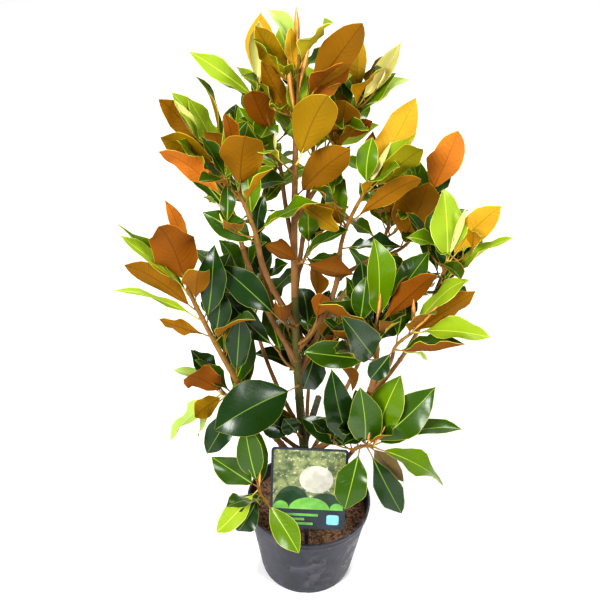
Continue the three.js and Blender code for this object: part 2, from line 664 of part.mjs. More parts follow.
const LEAF_GAP = 1.2; // between leaves of two masses, and between a leaf and a limb
const OWN_GAP = -1.4; // between the blades of one mass, whose edges may nearly meet
const WITH_STALK = 0.04; // where a leaf's shape begins, as a share of its length
const BLADE_ONLY = { drawn: 0.26, ruled: 0.13 };
const LEAF_SPREAD = 3; // along the stem, between the leaves of one whorl
const LOWEST_LEAF = 12;
const CROWN_TOP = 1042;
const REACH = 235; // of a mass, from its stem's end
const TWIG_LEAVES = 4;
const TURNS = [0, 7, -7, 14, -14, 21, -21, 30, -30, 42, -42]; // degrees that a blocked leaf tries to turn aside

// The boughs' paths. A foot starts on its parent's middle line and is later cut clear of it.
function boughPaths() {
  const paths = { trunk: trunkPath() };
  for (const [name, [parent, height, lift, bearing, tip, footRadius, tipRadius]] of Object.entries(BOUGHS)) {
    const foot = atHeight(paths[parent], height);
    paths[name] = limbPath(
      foot.point, heading(bearing, lift), vec(...tip), footRadius, tipRadius, LIMB_STEPS,
    );
  }
  return paths;
}

// A mass's stem goes on from its bough's tip in the bough's own direction, or leaves the trunk.
function stemPath(mass, paths) {
  const apex = vec(...mass.apex);
  const carrier = paths[mass.carrier];
  if (mass.height) {
    const foot = atHeight(carrier, mass.height);
    const first = apex.clone().sub(foot.point).setZ(0).normalize().setZ(0.9).normalize();
    return limbPath(foot.point, first, apex, mass.radius, mass.radius * 0.8, STEM_STEPS);
  }
  const tip = carrier.at(-1);
  const first = tip.point.clone().sub(carrier.at(-2).point).normalize();
  const foot = tip.point.clone().addScaledVector(first, GAP);
  return limbPath(foot, first, apex, mass.radius, mass.radius * 0.8, STEM_STEPS);
}

// The leaf rows that the seeded rule adds to a stem, from near its tip downwards.
function ruledRows(fill, count, span, random) {
  return Array.from({ length: count }, (_, i) => {
    const share = (i + 0.5) / count;
    const bearing = fill.bearing + ((GOLDEN_ANGLE * i) % FILL_SWEEP) - FILL_SWEEP / 2;
    const lift = 68 - 44 * share + 14 * (random() - 0.5);
    const length = 84 + 26 * random();
    const width = length * (0.36 + 0.08 * random());
    return [span * share * 0.85, bearing, lift, length, width, "up", fill.tint, "ruled"];
  });
}

// A leaf keeps within reach of its stem's end, below the crown's top and above the ground.
function keepsToSpace(leaf, mass) {
  const { tip } = leafOutline(leaf);
  return tip.z > LOWEST_LEAF && tip.z < CROWN_TOP && tip.distanceTo(mass.stem.at(-1).point) < REACH;
}

// Sets a leaf on a stem, turned aside as far as it must be to stay clear, or leaves it out.
function setLeaf(mass, path, row, taken) {
  const [back, bearing] = row;
  const spread = LEAF_SPREAD * (mass.leaves.length % 4);
  const seat = atBack(path, Math.min(back + spread, pathLength(path) - 4));
  for (const turn of TURNS) {
    const leaf = makeLeaf(seat, [back, bearing + turn, ...row.slice(2)]);
    const shape = leafShape(leaf, mass.name, WITH_STALK);
    const blade = leafShape(leaf, mass.name, BLADE_ONLY[leaf.kind]);
    const blocked =
      taken.some((t) => touches(shape, t, LEAF_GAP)) ||
      (!leaf.rolled && mass.blades.some((t) => touches(blade, t, OWN_GAP)));
    if (keepsToSpace(leaf, mass) && !blocked) {
      mass.leaves.push(leaf);
      mass.shapes.push(shape);
      if (!leaf.rolled) mass.blades.push(blade);
      return;
    }
  }
  mass.skipped += 1;
}

// The leaves and side twigs that the rule adds to a mass, on the side that its fill faces.
function addByRule(mass, taken) {
  const { fill } = MASSES[mass.name];
  const random = seeded(fill.seed);
  const span = pathLength(mass.stem);
  ruledRows(fill, fill.leaves, span, random).forEach((row) => setLeaf(mass, mass.stem, row, taken));
  for (let i = 0; i < fill.twigs; i += 1) {
    const seat = atBack(mass.stem, span * (0.35 + 0.4 * i));
    const bearing = fill.bearing + (i % 2 ? -62 : 62) + 20 * (random() - 0.5);
    const tip = seat.point.clone().addScaledVector(heading(bearing, 52), 46 + 14 * random());
    const twig = limbPath(seat.point, heading(bearing, 30), tip, 1.7, 1.4, 2);
    const clear = limbShapes(twig.slice(1), mass.name).every((s) => !taken.some((t) => touches(s, t, LEAF_GAP)));
    if (clear) {
      mass.twigs.push(twig);
      const rows = ruledRows({ ...fill, bearing: bearing + 40 }, TWIG_LEAVES, pathLength(twig), random);
      rows.forEach((row) => setLeaf(mass, twig, row, taken));
    }
  }
}

// Grows every mass: first the measured leaves of all, then what the rule adds.
function growPlant() {
  const paths = boughPaths();
  const masses = Object.entries(MASSES).map(([name, mass]) => ({
    name, carrier: mass.carrier, stem: stemPath(mass, paths), twigs: [], leaves: [], shapes: [], blades: [], skipped: 0,
  }));
  const limbs = [
    ...Object.entries(paths).flatMap(([name, path]) => limbShapes(path, name)),
    ...masses.flatMap((mass) => limbShapes(mass.stem, mass.name)),
    cardShape(),
    ...rimShapes(),
  ];
  const takenFor = (mass) => [
    ...limbs.filter((s) => s.owner !== mass.name),
    ...masses.filter((m) => m !== mass).flatMap((m) => m.shapes),
  ];
  masses.forEach((mass) => {
    const taken = takenFor(mass);
    MASSES[mass.name].leaves.forEach((row) => setLeaf(mass, mass.stem, row, taken));
  });
  masses.forEach((mass) => addByRule(mass, takenFor(mass)));
  return { paths, masses };
}

// A mass as one solid: its stem cut clear of the trunk where it starts there, with twigs and leaves.
function massSolid(mass, paths) {
  const stem = tube(mass.stem, STEM_SIDES);
  const pieces = [...mass.twigs.map((twig) => tube(twig, TWIG_SIDES)), ...mass.leaves.map(leafSolid)];
  const joined = pieces.reduce((sum, piece) => sum.add(piece), stem);
  const start = MASSES[mass.name].height ? joined.subtract(tube(paths.trunk, TRUNK.sides, GAP)) : joined;
  return wholeBody(start);
}

// ---------------------------------------------------------------- pot, soil and card

const inRadians = THREE.MathUtils.degToRad;

// The wall's outer radius below the rim band.
function potRadius(height) {
  const bandFoot = POT.height - POT.rimBand;
  return POT.baseRadius + (POT.rimRadius - POT.rimStep - POT.baseRadius) * (height / bandFoot);
}

function lathe(profile) {
  const points = profile.map(([r, z]) => new THREE.Vector2(r, z));
  const solid = solidOf(new THREE.LatheGeometry(points, POT.sides).rotateX(Math.PI / 2));
  return solid.volume() < 0 ? solidOf(new THREE.LatheGeometry(points.reverse(), POT.sides).rotateX(Math.PI / 2)) : solid;
}

function makePot() {
  const bandFoot = POT.height - POT.rimBand;
  const outerFoot = [0, 45, 90].map((degrees) => {
    const angle = inRadians(degrees);
    const inset = POT.footRadius * (1 - Math.sin(angle));
    const z = POT.footRadius * (1 - Math.cos(angle));
    return [potRadius(z) - inset, z];
  });
  const inner = (z) => potRadius(z) - POT.wall;
  const body = lathe([
    [0, 0],
    ...outerFoot,
    [potRadius(bandFoot), bandFoot],
    [POT.rimRadius - 1, bandFoot + 1],
    [POT.rimRadius - 0.6, POT.height - 2 * POT.lip],
    [POT.rimRadius, POT.height - POT.lip],
    [POT.rimRadius - POT.lip, POT.height],
    [POT.rimRadius - 2 * POT.lip, POT.height - 0.5],
    [POT.rimRadius - 2 * POT.lip, bandFoot + 1],
    [inner(bandFoot), bandFoot - 1],
    [inner(POT.floor), POT.floor],
    [0, POT.floor],
  ]);
  let pot = body;
  for (let i = 0; i < POT.notches; i += 1) {
    const notch = new THREE.BoxGeometry(18, POT.notchWidth, POT.notchHeight);
    notch.translate(POT.baseRadius + 1, 0, POT.notchHeight / 2 - 1);
    notch.rotateZ(inRadians(-90 + (360 / POT.notches) * i));
    pot = pot.subtract(solidOf(notch));
  }
  return pot;
}

function makeSoil() {
  const foot = POT.floor + GAP;
  return lathe([
    [0, foot],
    [potRadius(foot) - POT.wall - GAP, foot],
    [potRadius(SOIL.level) - POT.wall - GAP, SOIL.level],
    [0, SOIL.level],
  ]);
}

// Puts a shape that was drawn upright in the card's own plane in its place, leaning back.
function leanWithCard(geometry) {
  geometry.rotateX(inRadians(-CARD.leanBack));
  return geometry.translate(CARD.middleX, CARD.footY, CARD.footHeight);
}

function makeCard() {
  const half = CARD.width / 2;
  const r = CARD.corner;
  const outline = new THREE.Shape();
  outline.moveTo(-half + r, 0);
  outline.lineTo(half - r, 0);
  outline.absarc(half - r, r, r, -Math.PI / 2, 0);
  outline.lineTo(half, CARD.height - r);
  outline.absarc(half - r, CARD.height - r, r, 0, Math.PI / 2);
  outline.lineTo(-half + r, CARD.height);
  outline.absarc(-half + r, CARD.height - r, r, Math.PI / 2, Math.PI);
  outline.lineTo(-half, r);
  outline.absarc(-half + r, r, r, Math.PI, 1.5 * Math.PI);
  const card = new THREE.ExtrudeGeometry(outline, { depth: CARD.thickness, bevelEnabled: false, curveSegments: 3 });
  return solidOf(leanWithCard(card.rotateX(Math.PI / 2)));
}

// The holder runs down behind the card to the soil.
function makeHolder() {
  const length = HOLDER.below + HOLDER.above;
  const holder = new THREE.BoxGeometry(HOLDER.width, HOLDER.depth, length);
  holder.translate(0, HOLDER.depth / 2 + GAP, length / 2 - HOLDER.below);
  return solidOf(leanWithCard(holder));
}

// The card as a shape that leaves keep clear of: two faces between its corners.
function cardShape() {
  const lean = inRadians(CARD.leanBack);
  const corner = (side, rise) =>
    vec(
      CARD.middleX + (side * CARD.width) / 2,
      CARD.footY + rise * CARD.height * Math.sin(lean),
      CARD.footHeight + rise * CARD.height * Math.cos(lean),
    );
  const points = [corner(-1, 0), corner(1, 0), corner(1, 1), corner(-1, 1)];
  return shapeOf(points, [[0, 1], [1, 2], [2, 3], [3, 0]], [[0, 1, 2], [0, 2, 3]], 2, "card");
}

// The pot's rim as a ring of short runs that leaves keep clear of.
function rimShapes() {
  const runs = 24;
  const at = (i) => {
    const angle = (2 * Math.PI * i) / runs;
    const radius = POT.rimRadius - 1;
    return vec(radius * Math.cos(angle), radius * Math.sin(angle), POT.height - 4);
  };
  return Array.from({ length: runs }, (_, i) => shapeOf([at(i), at(i + 1)], [[0, 1]], [], 5, "pot"));
}

// ---------------------------------------------------------------- the whole plant

const part = new THREE.Group();

function addPiece(name, solid, color, roughness) {
  const material = new THREE.MeshStandardMaterial({ color, roughness, metalness: 0 });
  const mesh = new THREE.Mesh(toGeometry(solid), material);
  mesh.name = name;
  part.add(mesh);
}

const plant = growPlant();
addPiece("pot", makePot(), 0x4b494f, 0.6);
addPiece("soil", makeSoil(), 0x5a4331, 0.95);
addPiece("label_card", makeCard(), 0x6f8f4a, 0.4);
addPiece("label_holder", makeHolder(), 0x23262b, 0.5);
addPiece("trunk", tube(plant.paths.trunk, TRUNK.sides), 0x6e5436, 0.8);
for (const [name, [parent]] of Object.entries(BOUGHS)) {
  const parentSides = parent === "trunk" ? TRUNK.sides : LIMB_SIDES;
  const bough = tube(plant.paths[name], LIMB_SIDES).subtract(tube(plant.paths[parent], parentSides, GAP));
  addPiece(name, wholeBody(bough), 0x84502f, 0.8);
}
for (const mass of plant.masses) {
  addPiece(mass.name, massSolid(mass, plant.paths), TINTS[MASSES[mass.name].fill.tint], 0.45);
}

export default part;
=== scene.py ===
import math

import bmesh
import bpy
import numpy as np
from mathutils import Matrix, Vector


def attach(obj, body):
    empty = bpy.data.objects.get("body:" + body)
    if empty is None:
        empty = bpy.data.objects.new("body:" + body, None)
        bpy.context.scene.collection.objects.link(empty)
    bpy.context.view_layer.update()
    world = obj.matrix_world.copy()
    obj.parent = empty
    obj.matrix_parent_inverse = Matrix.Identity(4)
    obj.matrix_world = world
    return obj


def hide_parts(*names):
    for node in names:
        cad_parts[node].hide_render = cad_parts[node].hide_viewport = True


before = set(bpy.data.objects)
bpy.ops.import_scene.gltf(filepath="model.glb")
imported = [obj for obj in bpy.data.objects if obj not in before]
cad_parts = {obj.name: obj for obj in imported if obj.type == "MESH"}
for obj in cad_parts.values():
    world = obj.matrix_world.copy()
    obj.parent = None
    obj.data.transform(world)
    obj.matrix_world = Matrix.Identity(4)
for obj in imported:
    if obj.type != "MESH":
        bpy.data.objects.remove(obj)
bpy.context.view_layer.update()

# A young large-flowered magnolia in its nursery pot, with a plain picture card on a holder.
# Sizes are worked in millimetres and put in the scene in metres, +Z up. The middle of the pot's
# underside is the origin, and -Y is the front.
#
# The plant grows by rule. A trunk leans and tapers. Boughs leave it at a stated height and bend up
# to their tips. A mass of leaves begins just past each tip: one stem, the measured leaves that give
# the crown its outline, and leaves and side twigs that a seeded rule adds. Finer twigs with small
# leaves then grow where they fall within the outlines of the large leaves, as the camera sees them.

MM = 0.001

# ---------------------------------------------------------------- driving dimensions, in millimetres

GAP = 0.3
POT = {
    "height": 161, "rim_radius": 105, "base_radius": 78, "wall": 2, "floor": 3, "rim_band": 15, "rim_step": 3.4,
    "lip": 2.1, "foot_radius": 5, "notches": 6, "notch_width": 15, "notch_height": 4,
}
SOIL_LEVEL = 139
TRUNK = {
    "foot_x": 6, "tip_x": -37, "tip_height": 869, "lean_power": 2.4, "foot_radius": 8.2, "tip_radius": 3.7,
    "flare": 5, "flare_height": 24, "steps": 14, "step_power": 1.25,
}
CARD = {
    "width": 122, "height": 160, "thickness": 1, "corner": 7, "middle_x": -1, "foot_y": -82, "foot_height": 177,
    "lean_back": 10,
}
HOLDER = {"width": 6.5, "depth": 3, "below": 37.6, "above": 60}

LIMB_STEPS = 5
STEM_STEPS = 4
GOLDEN_ANGLE = 137.5
FILL_SWEEP = 230

# Boughs: parent, height on it, first lift and bearing, tip [x, y, z], foot and tip radius.
# Bearings are degrees round from +X towards +Y, and lifts are degrees above the level.
BOUGHS = {
    "bough_left_low": ["trunk", 226, 55, 190, [-118, -31, 450], 5.4, 4.3],
    "bough_upper_left": ["trunk", 470, 60, 185, [-116, 11, 698], 4.6, 3.4],
    "bough_inner_left": ["trunk", 541, 60, 195, [-82, -62, 725], 4.6, 3.5],
    "bough_high_left": ["trunk", 677, 74, 150, [-55, 15, 785], 3.6, 2.9],
    "bough_high_right": ["trunk", 726, 55, 20, [15, 25, 817], 3.6, 2.9],
    "bough_right": ["trunk", 488, 52, 12, [29, -24, 688], 4.5, 3.5],
    "bough_far_right": ["bough_right", 632, 40, 15, [103, 33, 652], 3.2, 2.7],
    "bough_front_right": ["trunk", 262, 46, -18, [88, -88, 548], 5.6, 4.4],
    "bough_front_right_low": ["bough_front_right", 470, 60, -10, [110, -100, 580], 3.3, 2.7],
    "bough_right_tip": ["bough_front_right", 440, 36, 34, [164, -32, 621], 3.6, 2.8],
    "bough_low_right": ["trunk", 205, 40, -30, [65, -44, 319], 4.4, 3.4],
    "bough_low_left": ["trunk", 165, 38, 215, [-55, -60, 218], 3.8, 3],
    "bough_low_side": ["trunk", 268, 40, 178, [-104, -4, 372], 3.8, 2.9],
    "bough_back_top": ["trunk", 590, 55, 80, [-18, 92, 735], 3.9, 3],
    "bough_back_left": ["trunk", 445, 45, 130, [-100, 128, 610], 3.9, 3],
    "bough_back_right": ["trunk", 440, 48, 55, [88, 126, 590], 3.9, 3],
    "bough_back_low_left": ["trunk", 315, 42, 140, [-96, 122, 420], 3.9, 3],
    "bough_back_low_right": ["trunk", 248, 42, 50, [86, 116, 408], 3.9, 3],
    "bough_back_low": ["trunk", 225, 35, 95, [-8, 116, 316], 3.9, 3],
    "cut_stub": ["trunk", 288, 56, 62, [9, 21, 374], 5.8, 5.2],
}
ROLLED = ("cream", "peach")  # leaves still rolled round the shoot's tip
YOUNG = ("lime", "pale", "cream", "peach", "orange", "yellow")

# Masses of leaves. carrier: a bough, or "trunk" with the height where the stem leaves it.
# apex: the stem's end. Each leaf: distance back from the apex along the stem, bearing, lift,
# length, width, which way its upper side looks (up, front or back) and its tint.
# fill, where the rule adds more: how many leaves, how many side twigs, the bearing that they face,
# their tint, and the seed.
MASSES = {
    "leaves_upper_left": {
        "carrier": "bough_upper_left", "apex": [-144, 27, 806], "radius": 3.1,
        "leaves": [
            [0, 180, 58, 101, 22, "front", "cream"], [2, 158, 54, 113, 38, "up", "lime"],
            [10, 144, 61, 104, 34, "up", "lime"], [4, -170, 81, 142, 28, "up", "gold"],
            [15, 170, 50, 130, 34, "back", "brown"], [10, -159, 38, 105, 32, "back", "gold"],
            [62, -155, 47, 146, 30, "back", "orange"], [85, 170, 50, 134, 24, "front", "green"],
            [99, -168, 50, 75, 17, "up", "pale"],
        ],
        "fill": {"leaves": 4, "bearing": 60, "tint": "green", "seed": 11},
    },
    "leaves_inner_left": {
        "carrier": "bough_inner_left", "apex": [-107, -78, 819], "radius": 3.2,
        "leaves": [
            [0, -57, 79, 94, 55, "back", "brown"], [7, 180, 81, 130, 20, "back", "rust"],
            [3, 105, 42, 114, 28, "up", "bright"], [88, -168, 38, 92, 36, "front", "green"],
            [95, -176, 25, 65, 18, "back", "rust"], [91, 60, 80, 69, 26, "up", "dark"],
        ],
        "fill": {"leaves": 3, "bearing": 80, "tint": "bright", "seed": 12},
    },
    "leaves_high_left": {
        "carrier": "bough_high_left", "apex": [-90, 20, 912], "radius": 2.7,
        "leaves": [
            [0, -75, 84, 104, 34, "front", "cream"], [4, 91, 73, 106, 36, "back", "yellow"],
            [9, -174, 39, 116, 24, "front", "lime"], [8, 149, 47, 57, 20, "up", "lime"],
            [72, -152, 68, 85, 42, "back", "rust"], [120, 157, 53, 107, 42, "front", "bright"],
        ],
        "fill": {"leaves": 4, "bearing": 70, "tint": "bright", "seed": 13},
    },
    "leaves_leader": {
        "carrier": "trunk", "apex": [-35, 0, 977], "radius": 3.2,
        "leaves": [
            [0, 180, 86, 63, 13, "front", "peach"], [9, 148, 54, 76, 34, "up", "pale"],
            [36, -152, 79, 86, 16, "back", "yellow"], [50, 136, 40, 66, 34, "up", "dark"],
            [55, -169, 61, 110, 30, "back", "gold"], [91, 131, 79, 86, 36, "up", "lime"],
            [88, -135, 80, 93, 13, "front", "peach"], [103, -161, 65, 110, 24, "back", "brown"],
            [57, -37, 78, 80, 11, "front", "peach"], [9, 33, 47, 40, 12, "up", "pale"],
        ],
        "fill": {"leaves": 3, "bearing": 100, "tint": "lime", "seed": 14},
    },
    "leaves_upper_right": {
        "carrier": "trunk", "height": 848, "apex": [-26, -15, 924], "radius": 2.4,
        "leaves": [
            [0, -17, 59, 135, 47, "back", "brown"], [5, -27, 52, 91, 32, "up", "rust"],
            [5, 8, 45, 78, 28, "back", "rust"],
        ],
    },
    "leaves_high_right": {
        "carrier": "bough_high_right", "apex": [43, 40, 886], "radius": 2.7,
        "leaves": [
            [0, -2, 62, 108, 32, "front", "cream"], [11, 17, 32, 88, 46, "up", "pale"],
            [71, -64, 76, 93, 45, "back", "brown"], [36, 129, 78, 62, 24, "back", "gold"],
            [10, -112, 85, 127, 22, "back", "yellow"], [47, 0, 39, 49, 20, "back", "rust"],
        ],
        "fill": {"leaves": 5, "bearing": 90, "tint": "bright", "seed": 16},
    },
    "leaves_gold_front": {
        "carrier": "trunk", "height": 757, "apex": [-34, -56, 850], "radius": 2.5,
        "leaves": [
            [0, -23, 70, 115, 56, "back", "gold"], [80, -20, 51, 118, 46, "back", "brown"],
            [95, -45, -4, 84, 28, "back", "gold"],
        ],
    },
    "leaves_right": {
        "carrier": "bough_right", "apex": [62, -25, 801], "radius": 3.1,
        "leaves": [
            [2, 44, 53, 134, 44, "back", "yellow"], [0, 69, 82, 74, 30, "up", "bright"],
            [0, -10, 70, 84, 11, "front", "cream"], [0, -16, 50, 115, 32, "back", "olive"],
            [4, 84, 42, 82, 26, "back", "rust"], [0, 60, 44, 98, 30, "up", "lime"],
            [52, -12, 44, 131, 26, "back", "brown"], [60, 180, 30, 53, 20, "back", "brown"],
            [108, 16, -7, 88, 34, "up", "dark"],
        ],
        "fill": {"leaves": 2, "bearing": 90, "tint": "bright", "seed": 18},
    },
    "leaves_far_right": {
        "carrier": "bough_far_right", "apex": [152, 41, 746], "radius": 2.5,
        "leaves": [
            [0, -20, 76, 118, 46, "back", "orange"], [100, -40, 74, 132, 66, "back", "brown"],
            [16, 38, 51, 65, 30, "up", "green"],
        ],
        "fill": {"leaves": 3, "bearing": 80, "tint": "bright", "seed": 19},
    },
    "leaves_right_tip": {
        "carrier": "bough_right_tip", "apex": [177, -47, 700], "radius": 2.6,
        "leaves": [
            [4, 116, 75, 108, 48, "up", "lime"], [0, 0, 80, 92, 13, "front", "cream"],
            [0, -4, 60, 120, 38, "back", "yellow"], [47, -8, 48, 136, 30, "up", "lime"],
            [30, 60, 60, 60, 34, "up", "dark"],
        ],
        "fill": {"leaves": 3, "bearing": 110, "tint": "green", "seed": 20},
    },
    "leaves_front_right": {
        "carrier": "bough_front_right", "apex": [82, -99, 626], "radius": 3.7,
        "leaves": [
            [0, 119, 83, 134, 46, "up", "bright"], [0, -71, 86, 60, 11, "front", "peach"],
            [0, -8, 56, 132, 36, "back", "rust"], [2, 13, 44, 130, 42, "up", "green"],
            [12, -169, 35, 98, 54, "up", "boat"], [30, -154, 30, 85, 54, "up", "boat"],
            [0, 147, 42, 62, 34, "up", "dark"], [23, -20, 57, 55, 14, "up", "lime"],
            [72, -158, 57, 144, 46, "front", "dark"], [78, -171, 13, 106, 42, "front", "green"],
        ],
        "fill": {"leaves": 2, "bearing": 90, "tint": "dark", "seed": 21},
    },
    "leaves_front_right_low": {
        "carrier": "bough_front_right_low", "apex": [134, -109, 623], "radius": 2.5,
        "leaves": [
            [0, -134, 84, 60, 11, "front", "peach"], [0, 9, 54, 114, 36, "up", "lime"],
            [0, -21, 61, 70, 11, "front", "peach"], [3, 5, 42, 116, 34, "back", "brown"],
            [0, -2, 11, 105, 42, "up", "lime"], [44, -19, 24, 104, 56, "up", "boat"],
            [40, 170, -60, 62, 28, "front", "dark"], [42, 11, -27, 60, 16, "up", "pale"],
        ],
        "fill": {"leaves": 2, "bearing": 60, "tint": "green", "seed": 22},
    },
    "leaves_low_right": {
        "carrier": "bough_low_right", "apex": [97, -74, 363], "radius": 3.1,
        "leaves": [
            [20, -150, 82, 132, 50, "front", "green"], [0, 20, 72, 134, 50, "front", "bright"],
            [0, 9, 52, 145, 54, "front", "green"], [0, -3, 22, 145, 50, "up", "green"],
            [0, -10, -25, 128, 52, "up", "bright"], [32, -112, -60, 105, 48, "front", "green"],
            [12, -19, -62, 140, 40, "front", "dark"], [4, -91, 80, 45, 10, "front", "peach"],
            [0, -18, 73, 50, 12, "front", "peach"], [7, 4, -54, 100, 32, "back", "grey"],
            [58, -178, 77, 172, 46, "front", "dark"], [70, 178, 27, 98, 36, "front", "dark"],
        ],
        "fill": {"leaves": 2, "bearing": 90, "tint": "green", "seed": 23},
    },
    "leaves_low_left": {
        "carrier": "bough_low_left", "apex": [-81, -90, 282], "radius": 2.7,
        "leaves": [
            [0, 155, 79, 120, 40, "front", "green"], [0, -176, 44, 99, 43, "front", "green"],
            [0, -68, 86, 45, 8, "front", "peach"], [0, -156, -46, 104, 34, "front", "lime"],
            [23, -140, -52, 76, 36, "front", "dark"], [42, -46, -34, 100, 40, "front", "bright"],
        ],
        "fill": {"leaves": 2, "bearing": 200, "tint": "green", "seed": 24},
    },
    "leaves_low_side": {
        "carrier": "bough_low_side", "apex": [-144, -10, 402], "radius": 2.7,
        "leaves": [
            [0, 175, 26, 84, 34, "up", "pale"], [3, -163, 50, 112, 46, "back", "rust"],
            [0, -142, -16, 60, 32, "back", "gold"], [0, -178, -62, 104, 28, "up", "pale"],
            [0, -146, -43, 116, 34, "up", "pale"], [30, -150, -58, 108, 40, "front", "dark"],
            [0, 150, 44, 88, 34, "up", "dark"],
        ],
        "fill": {"leaves": 3, "bearing": 165, "tint": "green", "seed": 25},
    },
    "leaves_left": {
        "carrier": "bough_left_low", "apex": [-184, -45, 634], "radius": 4.2,
        "leaves": [
            [0, -130, 71, 142, 57, "back", "rust"], [5, 170, 79, 157, 20, "back", "orange"],
            [7, -176, 47, 136, 32, "up", "lime"], [14, 168, 45, 152, 28, "up", "bright"],
            [45, -162, 48, 152, 32, "back", "brown"], [61, -168, 32, 144, 20, "up", "lime"],
            [90, -165, 31, 85, 20, "back", "brown"], [65, 54, 82, 132, 38, "front", "dark"],
            [105, 58, 79, 93, 40, "front", "dark"], [188, 33, 86, 122, 38, "front", "dark"],
            [140, 0, 75, 75, 16, "back", "brown"],
        ],
        "fill": {"leaves": 4, "bearing": 40, "tint": "green", "seed": 26},
    },
    "leaves_inner_front_left": {
        "carrier": "trunk", "height": 532, "apex": [-49, -41, 577], "radius": 2.4,
        "leaves": [
            [0, 165, 40, 122, 42, "front", "dark"], [5, -99, 60, 60, 53, "up", "boat"],
        ],
    },
    "leaves_middle_front": {
        "carrier": "trunk", "height": 648, "apex": [-23, -45, 688], "radius": 2.5,
        "leaves": [
            [10, -152, 40, 71, 46, "back", "boat"], [3, -24, 4, 78, 50, "back", "boat"],
            [0, 5, 44, 89, 34, "up", "green"],
        ],
    },
    "leaves_middle_right": {
        "carrier": "trunk", "height": 500, "apex": [0, -18, 560], "radius": 2.5,
        "leaves": [[0, 0, 80, 54, 25, "back", "rust"], [30, 60, 20, 90, 36, "up", "dark"]],
    },
    "leaves_middle_back": {
        "carrier": "trunk", "height": 612, "apex": [-15, 45, 650], "radius": 2.4,
        "leaves": [
            [0, 60, 78, 68, 28, "up", "bright"], [2, 9, 51, 62, 28, "up", "dark"],
            [6, 49, -71, 100, 34, "up", "green"], [12, -20, 15, 60, 30, "up", "green"],
        ],
    },
    "leaves_low_behind": {
        "carrier": "trunk", "height": 430, "apex": [4, 40, 467], "radius": 2.4,
        "leaves": [
            [0, 139, -76, 118, 46, "front", "dark"], [3, 24, -55, 132, 46, "up", "dark"],
            [5, 60, 30, 95, 40, "up", "green"],
        ],
    },
    "leaves_big_dark": {
        "carrier": "trunk", "height": 418, "apex": [-24, -16, 430], "radius": 2.6,
        "leaves": [[0, -162, -11, 148, 78, "front", "dark"]],
    },
    "leaves_middle_left": {
        "carrier": "trunk", "height": 446, "apex": [-54, -12, 494], "radius": 2.4,
        "leaves": [[0, 167, 47, 134, 36, "front", "dark"], [8, 100, 40, 84, 32, "up", "green"]],
    },
    "leaves_foot": {
        "carrier": "trunk", "height": 305, "apex": [-22, -24, 335], "radius": 2.6,
        "leaves": [
            [0, 176, 28, 68, 42, "front", "dark"], [2, -150, 60, 50, 30, "front", "dark"],
            [10, 170, 50, 62, 22, "back", "olive"],
        ],
    },
}

# The masses behind, all of whose leaves the rule adds: apex, the bearing that they face, tint and seed.
BACK_MASSES = {
    "back_top": ([-10, 130, 812], 90, "lime", 41),
    "back_left": ([-118, 162, 700], 120, "bright", 42),
    "back_right": ([108, 160, 668], 60, "bright", 43),
    "back_low_left": ([-120, 156, 500], 130, "green", 44),
    "back_low_right": ([112, 150, 490], 50, "green", 45),
    "back_low": ([-12, 160, 385], 75, "dark", 46),
}
for back_name, (apex, bearing, tint, seed) in BACK_MASSES.items():
    MASSES["leaves_" + back_name] = {
        "carrier": "bough_" + back_name, "apex": apex, "radius": 2.8, "leaves": [],
        "fill": {"leaves": 6, "twigs": 2, "bearing": bearing, "tint": tint, "seed": seed},
    }

# ---------------------------------------------------------------- small maths


def vec(x, y, z):
    return np.array((x, y, z), dtype=float)


def unit(v):
    return v / math.sqrt(v @ v)


def span_of(v):
    return math.sqrt(v @ v)


def cross(a, b):
    return vec(a[1] * b[2] - a[2] * b[1], a[2] * b[0] - a[0] * b[2], a[0] * b[1] - a[1] * b[0])


SIDES = {"up": vec(0, 0, 1), "front": vec(0, -0.72, 0.69), "back": vec(0, 1, -0.25)}


def heading(bearing, lift):
    """The unit direction of a bearing and a lift, in degrees."""
    b = math.radians(bearing)
    l = math.radians(lift)
    return vec(math.cos(l) * math.cos(b), math.cos(l) * math.sin(b), math.sin(l))


def seeded(seed):
    """A small seeded generator of numbers from 0 to 1, the same as the source's."""
    mask = 0xFFFFFFFF
    state = [seed & mask]

    def draw():
        state[0] = (state[0] + 0x6D2B79F5) & mask
        t = state[0]
        t = ((t ^ (t >> 15)) * (t | 1)) & mask
        t ^= (t + (((t ^ (t >> 7)) * (t | 61)) & mask)) & mask
        return ((t ^ (t >> 14)) & mask) / 4294967296

    return draw


def limb_path(foot, first, tip, foot_radius, tip_radius, steps):
    """A limb is a list of (point, radius). It bends from a first heading towards its tip."""
    bend = foot + first * (span_of(tip - foot) * 0.5)
    path = []
    for i in range(steps + 1):
        t = i / steps
        point = foot * (1 - t) ** 2 + bend * (2 * t * (1 - t)) + tip * t * t
        path.append((point, foot_radius + (tip_radius - foot_radius) * t))
    return path


def trunk_path(steps):
    """The trunk leans away at its foot and then stands upright. Its foot is cut level."""
    foot = SOIL_LEVEL + GAP
    height = TRUNK["tip_height"] - foot
    path = []
    for i in range(steps + 1):
        share = (i / steps) ** TRUNK["step_power"]
        x = TRUNK["tip_x"] + (TRUNK["foot_x"] - TRUNK["tip_x"]) * (1 - share) ** TRUNK["lean_power"]
        flare = TRUNK["flare"] * max(0, 1 - (height * share) / TRUNK["flare_height"])
        radius = TRUNK["foot_radius"] + (TRUNK["tip_radius"] - TRUNK["foot_radius"]) * share + flare
        path.append((vec(x, 0, foot + height * share), radius))
    return path


def at_height(path, height):
    """The point and radius on a limb at a height, and its direction there."""
    i = max(1, next((k for k, s in enumerate(path) if s[0][2] >= height), 0))
    (a, wide), (b, thin) = path[i - 1], path[i]
    t = (height - a[2]) / (b[2] - a[2])
    return a + (b - a) * t, wide + (thin - wide) * t, unit(b - a)


